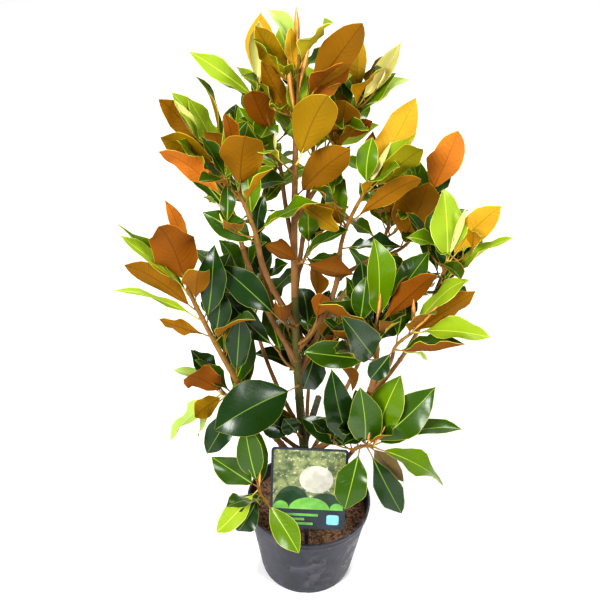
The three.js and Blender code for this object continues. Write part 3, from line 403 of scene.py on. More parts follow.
def at_back(path, back):
    """The point, radius and direction on a stem at a distance back from its tip."""
    left = back
    for i in range(len(path) - 1, 0, -1):
        (a, wide), (b, thin) = path[i - 1], path[i]
        span = span_of(b - a)
        if left <= span or i == 1:
            t = min(1, left / span)
            return b + (a - b) * t, thin + (wide - thin) * t, unit(b - a)
        left -= span


def path_length(path):
    return sum(span_of(b[0] - a[0]) for a, b in zip(path, path[1:]))


# ---------------------------------------------------------------- leaves

PETIOLE = 0.12  # of a leaf's length
ROOT_OFFSET = 0.45  # of the twig's radius
LEAF_STATIONS = {"drawn": (0.3, 0.55, 0.8), "ruled": (0.36, 0.74)}
BEND = {"flat": 26, "boat": -30, "rolled": 4}  # degrees that a leaf turns outwards from base to tip
FOLD = {"flat": 7, "boat": 52, "rolled": 0}  # degrees that each half rises from the midrib
LEAST_HALF = 1.2  # of a low outline
BLADE_GIRTH = 0.9
ROLLED_GIRTH = 0.3  # of the leaf's width


def half_width(share, width):
    """Half the blade's width at a share of the leaf's length."""
    blade = max(0, (share - PETIOLE) / (1 - PETIOLE))
    return 0.5 * width * max(0, math.sin(math.pi * blade**1.1)) ** 0.7


def make_leaf(seat, row):
    """A leaf grows from a seat on its twig, a little off the twig's middle line on its own side."""
    point, radius, along = seat
    bearing, lift, length, width, side, tint = row[1:7]
    kind = row[7] if len(row) > 7 else "drawn"
    axis = heading(bearing, lift)
    looks = SIDES[side]
    top = unit(looks - axis * (looks @ axis))
    outward = unit(axis - along * (axis @ along))
    form = "rolled" if tint in ROLLED else "boat" if tint == "boat" else "flat"
    return {
        "seat": point, "root": point + outward * (radius * ROOT_OFFSET), "axis": axis, "top": top,
        "across": cross(top, axis), "length": length, "width": width, "tint": tint, "kind": kind,
        "rolled": form == "rolled", "boat": form == "boat", "bend": BEND[form], "fold": FOLD[form],
    }


def leaf_station(leaf, share):
    """The leaf's middle line and upper direction at a share of its length."""
    bend = math.radians(leaf["bend"])
    slope = bend * (share - 0.5)
    top = leaf["top"] * math.cos(slope) + leaf["axis"] * math.sin(slope)
    bow = leaf["length"] * (bend / 2) * share * (1 - share)
    middle = leaf["root"] + leaf["axis"] * (leaf["length"] * share) + leaf["top"] * bow
    return middle, top


def leaf_shape(leaf, owner, start):
    """A leaf's low outline as a shape that others keep clear of, from a share of its length on."""
    fold = math.radians(leaf["fold"])
    points = [leaf_station(leaf, start)[0]]
    for share in LEAF_STATIONS[leaf["kind"]]:
        middle, top = leaf_station(leaf, share)
        half = max(LEAST_HALF, half_width(share, leaf["width"]))
        out = leaf["across"] * (half * math.cos(fold))
        rise = top * (half * math.sin(fold))
        points += [middle + out + rise, middle, middle - out + rise]
    points.append(leaf_station(leaf, 1)[0])
    edges, faces = LEAF_NETS[leaf["kind"]]
    girth = leaf["width"] * ROLLED_GIRTH if leaf["rolled"] else BLADE_GIRTH
    return Shape(points, edges, faces, girth, owner)


def leaf_net(rows):
    """The edges and faces of a low outline of a root, rows of three corners, and a tip."""
    edges = [(0, 1), (0, 2), (0, 3), (1, 2), (2, 3)]
    faces = [(0, 1, 2), (0, 2, 3)]
    for i in range(1, rows):
        a = 3 * i - 2
        faces += [(a, a + 3, a + 4), (a, a + 4, a + 1), (a + 1, a + 4, a + 5), (a + 1, a + 5, a + 2)]
        edges += [(a, a + 3), (a + 1, a + 4), (a + 2, a + 5), (a + 3, a + 4), (a + 4, a + 5)]
        edges += [(a, a + 4), (a + 1, a + 5)]
    a = 3 * rows - 2
    faces += [(a, a + 3, a + 1), (a + 1, a + 3, a + 2)]
    edges += [(a, a + 3), (a + 1, a + 3), (a + 2, a + 3)]
    return np.array(edges), np.array(faces)


LEAF_NETS = {kind: leaf_net(len(shares)) for kind, shares in LEAF_STATIONS.items()}

# ---------------------------------------------------------------- keeping clear

RIM_RUNS = 24
RIM_GIRTH = 5
CARD_GIRTH = 2


class Shape:
    """Corners, edges and faces that other pieces keep clear of, with a girth round the edges."""

    def __init__(self, points, edges, faces, girth, owner):
        self.points = np.array(points)
        self.faces = self.points[np.array(faces, dtype=int).reshape(-1, 3)]
        ends = self.points[np.array(edges, dtype=int)]
        self.starts, self.ends = ends[:, 0], ends[:, 1]
        self.girth = girth
        self.owner = owner
        self.low = self.points.min(axis=0)
        self.high = self.points.max(axis=0)


def nearest_runs(one, other):
    """The least distance between the straight runs of two shapes."""
    u = (one.ends - one.starts)[:, None]
    v = (other.ends - other.starts)[None]
    w = one.starts[:, None] - other.starts[None]
    uu, uv, vv = (u * u).sum(-1), (u * v).sum(-1), (v * v).sum(-1)
    uw, vw = (u * w).sum(-1), (v * w).sum(-1)
    spread = uu * vv - uv * uv
    s = np.where(spread > 1e-9, (uv * vw - vv * uw) / np.maximum(spread, 1e-9), 0).clip(0, 1)
    t = ((uv * s + vw) / vv).clip(0, 1)
    s = ((uv * t - uw) / uu).clip(0, 1)
    between = w + u * s[..., None] - v * t[..., None]
    return math.sqrt((between * between).sum(-1).min())


def pierces(one, other):
    """True where a run of the one shape passes through a face of the other."""
    if not len(other.faces):
        return False
    run = (one.ends - one.starts)[:, None]
    a = other.faces[None, :, 0]
    e = other.faces[None, :, 1] - a
    f = other.faces[None, :, 2] - a
    p = np.cross(run, f)
    det = (e * p).sum(-1)
    flat = abs(det) < 1e-9
    det = np.where(flat, 1, det)
    q = one.starts[:, None] - a
    u = (q * p).sum(-1) / det
    r = np.cross(q, e)
    v = (run * r).sum(-1) / det
    t = (f * r).sum(-1) / det
    return bool(((u >= 0) & (v >= 0) & (u + v <= 1) & (t >= 0) & (t <= 1) & ~flat).any())


class Taken:
    """The shapes that a new one keeps clear of, with their boxes side by side."""

    def __init__(self, shapes=()):
        self.shapes = list(shapes)
        self.lows = np.array([s.low for s in self.shapes]).reshape(-1, 3)
        self.highs = np.array([s.high for s in self.shapes]).reshape(-1, 3)
        self.girths = np.array([s.girth for s in self.shapes])

    def add(self, shape):
        self.shapes.append(shape)
        self.lows = np.vstack([self.lows, shape.low])
        self.highs = np.vstack([self.highs, shape.high])
        self.girths = np.append(self.girths, shape.girth)

    def touched_by(self, shape, gap):
        if not self.shapes:
            return False
        room = (gap + shape.girth + self.girths)[:, None]
        near = ((self.highs >= shape.low - room) & (self.lows <= shape.high + room)).all(axis=1)
        for k in np.flatnonzero(near):
            other = self.shapes[k]
            if nearest_runs(shape, other) < gap + shape.girth + other.girth:
                return True
            if pierces(shape, other) or pierces(other, shape):
                return True
        return False


def limb_shapes(path, owner):
    return [Shape([a[0], b[0]], [(0, 1)], [], a[1], owner) for a, b in zip(path, path[1:])]


def card_corner(side, rise):
    lean = math.radians(CARD["lean_back"])
    return vec(
        CARD["middle_x"] + side * CARD["width"] / 2,
        CARD["foot_y"] + rise * CARD["height"] * math.sin(lean),
        CARD["foot_height"] + rise * CARD["height"] * math.cos(lean),
    )


def card_shape():
    points = [card_corner(-1, 0), card_corner(1, 0), card_corner(1, 1), card_corner(-1, 1)]
    return Shape(points, [(0, 1), (1, 2), (2, 3), (3, 0)], [(0, 1, 2), (0, 2, 3)], CARD_GIRTH, "card")


def rim_shapes():
    """The pot's rim as a ring of short runs."""
    radius = POT["rim_radius"] - 1
    angles = [2 * math.pi * i / RIM_RUNS for i in range(RIM_RUNS + 1)]
    ring = [vec(radius * math.cos(a), radius * math.sin(a), POT["height"] - 4) for a in angles]
    return limb_shapes([(point, RIM_GIRTH) for point in ring], "pot")


# ---------------------------------------------------------------- growing the plant

LEAF_GAP = 1.2  # between leaves of two masses, and between a leaf and a limb
OWN_GAP = -1.4  # between the blades of one mass, whose edges may nearly meet
WITH_STALK = 0.04  # where a leaf's shape begins, as a share of its length
BLADE_ONLY = {"drawn": 0.26, "ruled": 0.13}
LEAF_SPREAD = 3  # along the stem, between the leaves of one whorl
WHORL = 4  # leaves
BARE_FOOT = 4  # of a stem, without leaves
LOWEST_LEAF = 12
CROWN_TOP = 1042
REACH = 235  # of a mass, from its stem's end
STEM_RISE = 0.9  # of a stem that leaves the trunk, for each step outwards
STEM_TAPER = 0.8
SEEDED_LEAF = {  # a pair is the least value and what chance may add
    "lift": 68, "lift_lost": 44, "lift_play": 14, "length": (84, 26), "slimness": (0.36, 0.08), "stem_share": 0.85,
}
SIDE_TWIG = {  # back is a share of the stem's length from its end
    "back": 0.35, "next_back": 0.4, "turn": 62, "play": 20, "lift": 52, "first_lift": 30, "length": (46, 14),
    "foot_radius": 1.7, "tip_radius": 1.4, "steps": 2, "leaves": 4, "leaves_turn": 40,
}
TURNS = (0, 7, -7, 14, -14, 21, -21, 30, -30, 42, -42)  # degrees that a blocked leaf tries to turn aside


def bough_path(name, paths, steps):
    """A bough's path, whose foot starts on its parent's middle line."""
    parent, height, lift, bearing, tip, foot_radius, tip_radius = BOUGHS[name]
    foot = at_height(paths[parent], height)[0]
    return limb_path(foot, heading(bearing, lift), vec(*tip), foot_radius, tip_radius, steps)


def low_paths():
    """The trunk's and the boughs' paths in a few long steps."""
    paths = {"trunk": trunk_path(TRUNK["steps"])}
    for name in BOUGHS:
        paths[name] = bough_path(name, paths, LIMB_STEPS)
    return paths


def stem_start(mass, paths):
    """Where a mass's stem begins, and its first direction."""
    apex = vec(*mass["apex"])
    carrier = paths[mass["carrier"]]
    if mass.get("height"):
        foot = at_height(carrier, mass["height"])[0]
        level = apex - foot
        level[2] = 0
        first = unit(level)
        first[2] = STEM_RISE
        return foot, unit(first), apex
    first = unit(carrier[-1][0] - carrier[-2][0])
    return carrier[-1][0] + first * GAP, first, apex


def stem_path(mass, paths, steps=STEM_STEPS):
    """A mass's stem goes on from its bough's tip in the bough's own direction, or leaves the trunk."""
    foot, first, apex = stem_start(mass, paths)
    return limb_path(foot, first, apex, mass["radius"], mass["radius"] * STEM_TAPER, steps)


def more(least, added, random):
    """The least value and as much more as chance adds."""
    return least + added * random()


def ruled_rows(fill, count, span, random):
    """The leaf rows that the seeded rule adds to a stem, from near its tip downwards."""
    rule = SEEDED_LEAF
    rows = []
    for i in range(count):
        share = (i + 0.5) / count
        bearing = fill["bearing"] + ((GOLDEN_ANGLE * i) % FILL_SWEEP) - FILL_SWEEP / 2
        lift = rule["lift"] - rule["lift_lost"] * share + rule["lift_play"] * (random() - 0.5)
        length = more(*rule["length"], random)
        width = length * more(*rule["slimness"], random)
        back = span * share * rule["stem_share"]
        rows.append([back, bearing, lift, length, width, "up", fill["tint"], "ruled"])
    return rows


def keeps_to_space(leaf, mass):
    """A leaf keeps within reach of its stem's end, below the crown's top and above the ground."""
    tip = leaf_station(leaf, 1)[0]
    return LOWEST_LEAF < tip[2] < CROWN_TOP and span_of(tip - mass["stem"][-1][0]) < REACH


def set_leaf(mass, path, row, taken, spread=None, screen=None):
    """Sets a leaf on a stem, turned aside as far as it must be to stay clear, or leaves it out.

    Where a screen is given, the leaf is mostly covered by it, and a rolled one keeps clear of the
    mass's own blades too.
    """
    if spread is None:
        spread = LEAF_SPREAD * (len(mass["leaves"]) % WHORL)
    seat = at_back(path, min(row[0] + spread, path_length(path) - BARE_FOOT))
    for turn in TURNS:
        leaf = make_leaf(seat, [row[0], row[1] + turn, *row[2:]])
        if not keeps_to_space(leaf, mass):
            continue
        shape = leaf_shape(leaf, mass["name"], WITH_STALK)
        if taken.touched_by(shape, LEAF_GAP):
            continue
        if screen and screen.covered(shape.points) < COVERED:
            continue
        blade = leaf_shape(leaf, mass["name"], BLADE_ONLY[leaf["kind"]])
        if leaf["rolled"]:
            if screen and mass["blades"].touched_by(blade, GAP):
                continue
        elif mass["blades"].touched_by(blade, OWN_GAP):
            continue
        mass["leaves"].append(leaf)
        mass["shapes"].append(shape)
        if not leaf["rolled"]:
            mass["blades"].add(blade)
        return


def add_by_rule(mass, taken):
    """The leaves and side twigs that the rule adds to a mass, on the side that its fill faces."""
    fill = MASSES[mass["name"]]["fill"]
    random = seeded(fill["seed"])
    span = path_length(mass["stem"])
    for row in ruled_rows(fill, fill["leaves"], span, random):
        set_leaf(mass, mass["stem"], row, taken)
    rule = SIDE_TWIG
    for i in range(fill.get("twigs", 0)):
        point = at_back(mass["stem"], span * (rule["back"] + rule["next_back"] * i))[0]
        bearing = fill["bearing"] + (-rule["turn"] if i % 2 else rule["turn"]) + rule["play"] * (random() - 0.5)
        tip = point + heading(bearing, rule["lift"]) * more(*rule["length"], random)
        first = heading(bearing, rule["first_lift"])
        twig = limb_path(point, first, tip, rule["foot_radius"], rule["tip_radius"], rule["steps"])
        if not any(taken.touched_by(s, LEAF_GAP) for s in limb_shapes(twig[1:], mass["name"])):
            mass["twigs"].append(twig)
            turned = {**fill, "bearing": bearing + rule["leaves_turn"]}
            for row in ruled_rows(turned, rule["leaves"], path_length(twig), random):
                set_leaf(mass, twig, row, taken)


BARE_STEMMED = (  # short masses beside the trunk, kept open so that it shows
    "leaves_middle_front", "leaves_middle_left", "leaves_middle_right", "leaves_big_dark", "leaves_inner_front_left",
)
FINE_SEED = 500
FINE_SWEEP = 210  # degrees, about the bearing that looks back
BACK = 90
FINE_TWIG = {
    "count": 7, "back": 0.06, "reach": 0.88, "play": 20, "lift": (16, 44), "first_drop": 15, "length": (32, 26),
    "foot_radius": 1.4, "tip_radius": 1, "steps": 4,
}
FINE_LEAF = {
    "count": 4, "step": 0.2, "turn": 90, "start": 120, "turn_play": 40, "lift": 58, "lift_lost": 14, "lift_play": 16,
    "length": (54, 30), "slimness": (0.34, 0.08),
}
BUD = {"lift": 70, "length": 28, "width": 6}
FINE_TINTS = ((840, ("bright", "lime", "olive")), (660, ("bright", "green", "brown")), (0, ("green", "dark", "dark")))
EYE = vec(0, -1300, 1596)  # the camera's place
COVERED = 0.8  # of a small leaf's corners, and of a fine twig's points


class Screen:
    """The outlines of the large leaves as the eye sees them."""

    def __init__(self, shapes):
        self.faces = self.cast(np.concatenate([shape.faces for shape in shapes if len(shape.faces)]))

    def cast(self, points):
        away = np.asarray(points) - EYE
        return np.stack([away[..., 0] / away[..., 1], away[..., 2] / away[..., 1]], axis=-1)

    def covered(self, points):
        """The share of some points that lie within those outlines, before or behind a leaf."""
        spots = self.cast(points)[:, None]
        a, b, c = (self.faces[None, :, k] for k in range(3))

        def side(p, q):
            edge, arm = q - p, spots - p
            return edge[..., 0] * arm[..., 1] - edge[..., 1] * arm[..., 0]

        sides = np.stack([side(a, b), side(b, c), side(c, a)])
        inside = (sides >= 0).all(axis=0) | (sides <= 0).all(axis=0)
        return inside.any(axis=1).mean()


def fine_rows(span, bearing, tint, random):
    """The small leaves of one fine twig, and the bud at its tip."""
    rule = FINE_LEAF
    rows = []
    for i in range(rule["count"]):
        length = more(*rule["length"], random)
        rows.append([
            span * rule["step"] * i, bearing + rule["turn"] * i - rule["start"] + rule["turn_play"] * random(),
            rule["lift"] - rule["lift_lost"] * i + rule["lift_play"] * random(), length,
            length * more(*rule["slimness"], random), "up", tint, "ruled",
        ])
    bud_tint = "peach" if tint in ("green", "dark") else "cream"
    return [*rows, [0, bearing, BUD["lift"], BUD["length"], BUD["width"], "up", bud_tint, "ruled"]]


def add_fine_growth(number, mass, taken, screen):
    """Carries a mass on to finer twigs with small leaves, where the large leaves cover them."""
    random = seeded(FINE_SEED + number)
    span = path_length(mass["stem"])
    height = mass["stem"][-1][0][2]
    tints = next(tints for lowest, tints in FINE_TINTS if height > lowest)
    rule = FINE_TWIG
    for i in range(rule["count"]):
        point = at_back(mass["stem"], span * (rule["back"] + rule["reach"] * i / rule["count"]))[0]
        bearing = BACK + ((GOLDEN_ANGLE * i) % FINE_SWEEP) - FINE_SWEEP / 2 + rule["play"] * random()
        lift = more(*rule["lift"], random)
        tip = point + heading(bearing, lift) * more(*rule["length"], random)
        first = heading(bearing, lift - rule["first_drop"])
        twig = limb_path(point, first, tip, rule["foot_radius"], rule["tip_radius"], rule["steps"])
        runs = limb_shapes(twig[1:], mass["name"])
        if any(taken.touched_by(s, LEAF_GAP) or mass["blades"].touched_by(s, GAP) for s in runs):
            continue
        if screen.covered([p for p, _ in twig]) < COVERED:
            continue
        tint = tints[int(random() * len(tints))]
        before = len(mass["leaves"])
        for row in fine_rows(path_length(twig), bearing, tint, random):
            set_leaf(mass, twig, row, taken, 0, screen)
        if len(mass["leaves"]) > before:
            mass["fine"].append(twig)


def grow_plant():
    """Grows every mass: first the measured leaves of all, then what the rule adds, then the fine growth."""
    paths = low_paths()
    masses = []
    for name, mass in MASSES.items():
        masses.append({
            "name": name, "stem": stem_path(mass, paths), "twigs": [], "fine": [], "leaves": [], "shapes": [],
            "blades": Taken(),
        })
    limbs = [s for name, path in paths.items() for s in limb_shapes(path, name)]
    limbs += [s for mass in masses for s in limb_shapes(mass["stem"], mass["name"])]
    limbs += [card_shape(), *rim_shapes()]

    def taken_for(mass):
        others = [s for m in masses if m is not mass for s in m["shapes"]]
        return Taken([s for s in limbs if s.owner != mass["name"]] + others)

    for mass in masses:
        taken = taken_for(mass)
        for row in MASSES[mass["name"]]["leaves"]:
            set_leaf(mass, mass["stem"], row, taken)
    for mass in masses:
        if "fill" in MASSES[mass["name"]]:
            add_by_rule(mass, taken_for(mass))
    screen = Screen([s for mass in masses for s in mass["shapes"]])
    for number, mass in enumerate(masses):
        if mass["name"] not in BARE_STEMMED:
            add_fine_growth(number, mass, taken_for(mass), screen)
    return paths, masses


# ---------------------------------------------------------------- node tools


def arithmetic(operation, turned=False):
    return lambda one, other: one.tree.math(operation, *((other, one) if turned else (one, other)))


class Field:
    """A socket in a node tree that takes plain arithmetic."""

    def __init__(self, tree, socket):
        self.tree = tree
        self.socket = socket

    __add__ = __radd__ = arithmetic("ADD")
    __sub__ = arithmetic("SUBTRACT")
    __rsub__ = arithmetic("SUBTRACT", turned=True)
    __mul__ = __rmul__ = arithmetic("MULTIPLY")
    __truediv__ = arithmetic("DIVIDE")
    __pow__ = arithmetic("POWER")


class Tree:
    """A node tree with short calls for what this scene uses."""

    def __init__(self, group):
        self.group = group
        self.prefix = "GeometryNode" if group.bl_idname == "GeometryNodeTree" else "ShaderNode"

    @classmethod
    def new(cls, name, kind, inputs, outputs):
        group = bpy.data.node_groups.new(name, kind)
        for socket, kind_of, default in inputs:
            made = group.interface.new_socket(socket, in_out="INPUT", socket_type="NodeSocket" + kind_of)
            if default is not None:
                made.default_value = default
        for socket, kind_of in outputs:
            group.interface.new_socket(socket, in_out="OUTPUT", socket_type="NodeSocket" + kind_of)
        tree = cls(group)
        tree.entry = group.nodes.new("NodeGroupInput")
        tree.exit = group.nodes.new("NodeGroupOutput")
        return tree

    def given(self, name):
        return Field(self, self.entry.outputs[name])

    def plug(self, socket, value):
        if isinstance(value, Field):
            value = value.socket
        if isinstance(value, bpy.types.NodeSocket):
            self.group.links.new(value, socket)
        else:
            socket.default_value = value

    def add(self, kind, inputs=(), **settings):
        """A node, with its settings and then its inputs, by name or by number."""
        full = kind if kind.startswith(("ShaderNode", "GeometryNode", "FunctionNode")) else self.prefix + kind
        node = self.group.nodes.new(full)
        for key, value in settings.items():
            setattr(node, key, value)
        for key, value in dict(inputs).items():
            self.plug(node.inputs[key], value)
        return node

    def out(self, node, key=0):
        return Field(self, node.outputs[key])

    def math(self, operation, *values):
        return self.out(self.add("ShaderNodeMath", enumerate(values), operation=operation))

    def vector(self, operation, *values):
        return self.out(self.add("ShaderNodeVectorMath", enumerate(values), operation=operation), "Vector")

    def scaled(self, vector, factor):
        node = self.add("ShaderNodeVectorMath", {0: vector, "Scale": factor}, operation="SCALE")
        return self.out(node, "Vector")

    def total(self, *vectors):
        result = vectors[0]
        for vector in vectors[1:]:
            result = self.vector("ADD", result, vector)
        return result

    def ramp(self, value, low, high, start=0.0, end=1.0):
        """A smooth step from start to end while the value goes from low to high."""
        node = self.add(
            "ShaderNodeMapRange", {0: value, 1: low, 2: high, 3: start, 4: end}, interpolation_type="SMOOTHSTEP",
        )
        return self.out(node)

    def mix(self, amount, colour, other):
        """One colour that goes over to another."""
        return self.out(self.add("Mix", {0: amount, 6: colour, 7: other}, data_type="RGBA"), 2)

    def noise(self, place, scale, detail, roughness=0.55, distortion=0.0):
        inputs = {"Vector": place, "Scale": scale, "Detail": detail, "Roughness": roughness, "Distortion": distortion}
        return self.out(self.add("ShaderNodeTexNoise", inputs))

    def attribute(self, name, data_type="FLOAT"):
        node = self.add("GeometryNodeInputNamedAttribute", data_type=data_type)
        node.inputs["Name"].default_value = name
        return self.out(node)

    def store(self, geometry, name, value, data_type):
        node = self.add("GeometryNodeStoreNamedAttribute", data_type=data_type, domain="POINT")
        node.inputs["Name"].default_value = name
        self.plug(node.inputs["Geometry"], geometry)
        self.plug(node.inputs["Value"], value)
        return self.out(node)


def linear(colour):
    """An sRGB colour written as 0xRRGGBB, as the linear colour that a shader takes."""
    parts = [(colour >> shift & 255) / 255 for shift in (16, 8, 0)]
    return (*(p / 12.92 if p <= 0.04045 else ((p + 0.055) / 1.055) ** 2.4 for p in parts), 1)


def mesh_object(name, points, faces=(), edges=()):
    mesh = bpy.data.meshes.new(name)
    mesh.from_pydata([tuple(map(float, p)) for p in points], [tuple(e) for e in edges], [tuple(f) for f in faces])
    piece = bpy.data.objects.new(name, mesh)
    bpy.context.collection.objects.link(piece)
    return piece


def give_attribute(piece, name, values, kind="FLOAT", domain="POINT"):
    layer = piece.data.attributes.new(name, kind, domain)
    key = "vector" if kind == "FLOAT_VECTOR" else "value"
    layer.data.foreach_set(key, np.array(values, dtype=np.float32).ravel())


def grown(seeds, tree, values, name):
    """The plain mesh that a node tree makes of a piece, whose modifier it leaves nowhere."""
    modifier = seeds.modifiers.new(tree.group.name, "NODES")
    modifier.node_group = tree.group
    for item in tree.group.interface.items_tree:
        if item.item_type == "SOCKET" and item.in_out == "INPUT" and item.name in values:
            modifier[item.identifier] = values[item.name]
    graph = bpy.context.evaluated_depsgraph_get()
    mesh = bpy.data.meshes.new_from_object(seeds.evaluated_get(graph), preserve_all_data_layers=True, depsgraph=graph)
    seeds.modifiers.remove(modifier)
    bpy.data.objects.remove(seeds)
    mesh.name = name
    piece = bpy.data.objects.new(name, mesh)
    bpy.context.collection.objects.link(piece)
    return piece


def stands_for(piece, nodes):
    """The piece rides with the plant and stands for those CAD nodes, which it hides."""
    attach(piece, "root")
    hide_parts(*nodes)


# ---------------------------------------------------------------- shader groups

VEIN = {"wander": 0.8, "wander_scale": 40.0, "fade_scale": 75.0, "width": 0.3}
GRAIN_SCALE = 900.0
GLOSS_SCALE = 45.0


def make_relief_group():
    """The relief of a leaf: side veins that run out from the midrib, and a fine grain."""
    tree = Tree.new(
        "leaf relief", "ShaderNodeTree",
        [("Vein Depth", "Float", 1.0), ("Grain", "Float", 0.3), ("Smooth", "Float", 0.3), ("Dull", "Float", 0.5)],
        [("Height", "Float"), ("Roughness", "Float")],
    )
    lay = tree.add("Attribute", attribute_name="vein")
    parts = tree.add("SeparateXYZ", {0: lay.outputs["Vector"]})
    order, across = tree.out(parts, 0), tree.out(parts, 1)
    place = tree.out(tree.add("TexCoord"), "Object")
    bent = order + VEIN["wander"] * tree.noise(place, VEIN["wander_scale"], 1.0)
    ridge = tree.math("PINGPONG", bent, 0.5) * 2
    faint = tree.ramp(tree.noise(place, VEIN["fade_scale"], 1.0), 0.3, 0.6)
    vein = tree.ramp(ridge, 0.0, VEIN["width"], 1.0, 0.0) * tree.ramp(across, 0.6, 0.95, 1.0, 0.0) * faint
    grain = tree.noise(place, GRAIN_SCALE, 2.0)
    tree.plug(tree.exit.inputs["Height"], vein * tree.given("Vein Depth") + grain * tree.given("Grain"))
    patch = tree.ramp(tree.noise(place, GLOSS_SCALE, 3.0), 0.3, 0.7) * 0.7 + vein * 0.3
    low, high = tree.given("Smooth"), tree.given("Dull")
    tree.plug(tree.exit.inputs["Roughness"], low + (high - low) * patch)
    return tree.group


def make_mottle_group():
    """Two tones in soft patches with fine specks, for bark, soil and moulded plastic."""
    tree = Tree.new(
        "mottle", "ShaderNodeTree",
        [
            ("Tone", "Color", (0.5, 0.5, 0.5, 1)), ("Second Tone", "Color", (0.4, 0.4, 0.4, 1)),
            ("Speck", "Color", (0.2, 0.2, 0.2, 1)), ("Patch Scale", "Float", 40.0), ("Speck Scale", "Float", 400.0),
            ("Speck Amount", "Float", 0.3), ("Stretch", "Float", 1.0),
        ],
        [("Color", "Color"), ("Patches", "Float"), ("Specks", "Float")],
    )
    place = tree.add("TexCoord").outputs["Object"]
    squash = tree.add("CombineXYZ", {0: 1.0, 1: 1.0, 2: tree.given("Stretch")})
    place = tree.vector("MULTIPLY", place, tree.out(squash))
    patches = tree.ramp(tree.noise(place, tree.given("Patch Scale"), 4.0, 0.6), 0.32, 0.68)
    specks = tree.ramp(tree.noise(place, tree.given("Speck Scale"), 2.0, 0.6), 0.56, 0.72)
    tones = tree.mix(patches, tree.given("Tone"), tree.given("Second Tone"))
    dotted = tree.mix(specks * tree.given("Speck Amount"), tones, tree.given("Speck"))
    tree.plug(tree.exit.inputs["Color"], dotted)
    tree.plug(tree.exit.inputs["Patches"], patches)
    tree.plug(tree.exit.inputs["Specks"], specks)
    return tree.group


LEAF_RELIEF = 0.0004  # metres
RELIEF_GROUP = make_relief_group()
MOTTLE_GROUP = make_mottle_group()


def new_material(name, plain):
    """A material whose shader has these plain values, as a tree to add to, and its shader."""
    material = bpy.data.materials.new(name)
    material.use_nodes = True
    tree = Tree(material.node_tree)
    shader = material.node_tree.nodes["Principled BSDF"]
    for key, value in plain.items():
        shader.inputs[key].default_value = value
    return material, tree, shader


def bump(tree, shader, height, distance):
    node = tree.add("Bump", {"Strength": 1.0, "Distance": distance, "Height": height})
    tree.plug(shader.inputs["Normal"], node.outputs["Normal"])


def leaf_material(name, colour, smooth, dull, coat, veins, grain):
    """A leaf's surface: one plain colour, with veins and grain in its relief and its gloss."""
    plain = {"Base Color": linear(colour), "Coat Weight": coat, "Coat Roughness": 0.2, "Specular IOR Level": 0.15}
    material, tree, shader = new_material(name, plain)
    values = {"Vein Depth": veins, "Grain": grain, "Smooth": smooth, "Dull": dull}
    relief = tree.add("Group", values, node_tree=RELIEF_GROUP)
    bump(tree, shader, relief.outputs["Height"], LEAF_RELIEF)
    tree.plug(shader.inputs["Roughness"], relief.outputs["Roughness"])
    return material


def add_mottle(tree, tones, scales, amount, stretch=1.0):
    """The mottle group in a material. scales are those of the patches and of the specks."""
    values = dict(zip(("Tone", "Second Tone", "Speck"), map(linear, tones)))
    values |= {"Patch Scale": scales[0], "Speck Scale": scales[1], "Speck Amount": amount, "Stretch": stretch}
    return tree.add("Group", values, node_tree=MOTTLE_GROUP)


def mottled_material(name, tones, scales, roughness, depth, amount, stretch=1.0, **plain):
    """Bark, soil or plastic in two tones with specks."""
    material, tree, shader = new_material(name, {"Specular IOR Level": 0.25, **plain})
    mottle = add_mottle(tree, tones, scales, amount, stretch)
    tree.plug(shader.inputs["Base Color"], mottle.outputs["Color"])
    rough = tree.out(mottle, "Patches") * (roughness[1] - roughness[0]) + roughness[0]
    tree.plug(shader.inputs["Roughness"], rough)
    bump(tree, shader, tree.out(mottle, "Specks") * 0.6 + tree.out(mottle, "Patches") * 0.4, depth)
    return material


# ---------------------------------------------------------------- the leaves' colours

# Each tint: upper side, underside, rim, upper midrib, lower midrib.
TINTS = {
    "lime": (0x90AA24, 0xB09E24, 0xD4DC68, 0xC2D450, 0x9C8C1C),
    "bright": (0x5A7A00, 0xA87600, 0xBCC848, 0xA8C03C, 0x8A5C00),
    "green": (0x325202, 0x885800, 0xA4AC38, 0x8CA838, 0x6E4600),
    "dark": (0x17340A, 0x7A4C06, 0x788430, 0x6C8634, 0x623C04),
    "pale": (0xAFCB5E, 0xD0C678, 0xE4E6A4, 0xC8DC8C, 0xBCAC5C),
    "cream": (0xD6D07C, 0xE0D088, 0xEAE4AC, 0xE6E09C, 0xCCBC68),
    "peach": (0xD8A450, 0xE2984C, 0xEECA84, 0xEABE74, 0xC88438),
    "orange": (0x8CA614, 0xD47E28, 0xECC870, 0xC4D460, 0xBC6A18),
    "gold": (0x5C8004, 0x906E00, 0xD4B430, 0xA4BC3C, 0x765600),
    "yellow": (0x8CA81C, 0xCC9C28, 0xE8DC60, 0xC8D850, 0xB08A08),
    "olive": (0x4C7004, 0x7C7600, 0xC0B830, 0x98B43C, 0x665C00),
    "brown": (0x324E06, 0x865A00, 0xBC9020, 0x7CA03C, 0x6C4600),
    "rust": (0x243E0C, 0x844C02, 0xC48426, 0x6C8C34, 0x6A3A00),
    "boat": (0x365206, 0x744604, 0xD0C450, 0x80A03C, 0x5C3600),
    "grey": (0x20381A, 0x807048, 0xA4A064, 0x547C48, 0x66583A),
}
TINT_PARTS = ("upper side", "underside", "rim", "upper midrib", "lower midrib")
# Each part of a blade, in the order of its strips: roughness where smooth and where dull, coat, depth
# of the veins, and grain.
FINISHES = {
    "rim": (0.4, 0.55, 0.0, 0.0, 0.2),
    "upper side": (0.24, 0.42, 0.4, 0.42, 0.14),
    "upper midrib": (0.35, 0.5, 0.0, 0.0, 0.3),
    "underside": (0.6, 0.8, 0.0, 0.95, 1.2),
    "lower midrib": (0.5, 0.7, 0.0, 0.0, 0.6),
}
YOUNG_FINISHES = {**FINISHES, "upper side": (0.36, 0.55, 0.12, 0.42, 0.14)}


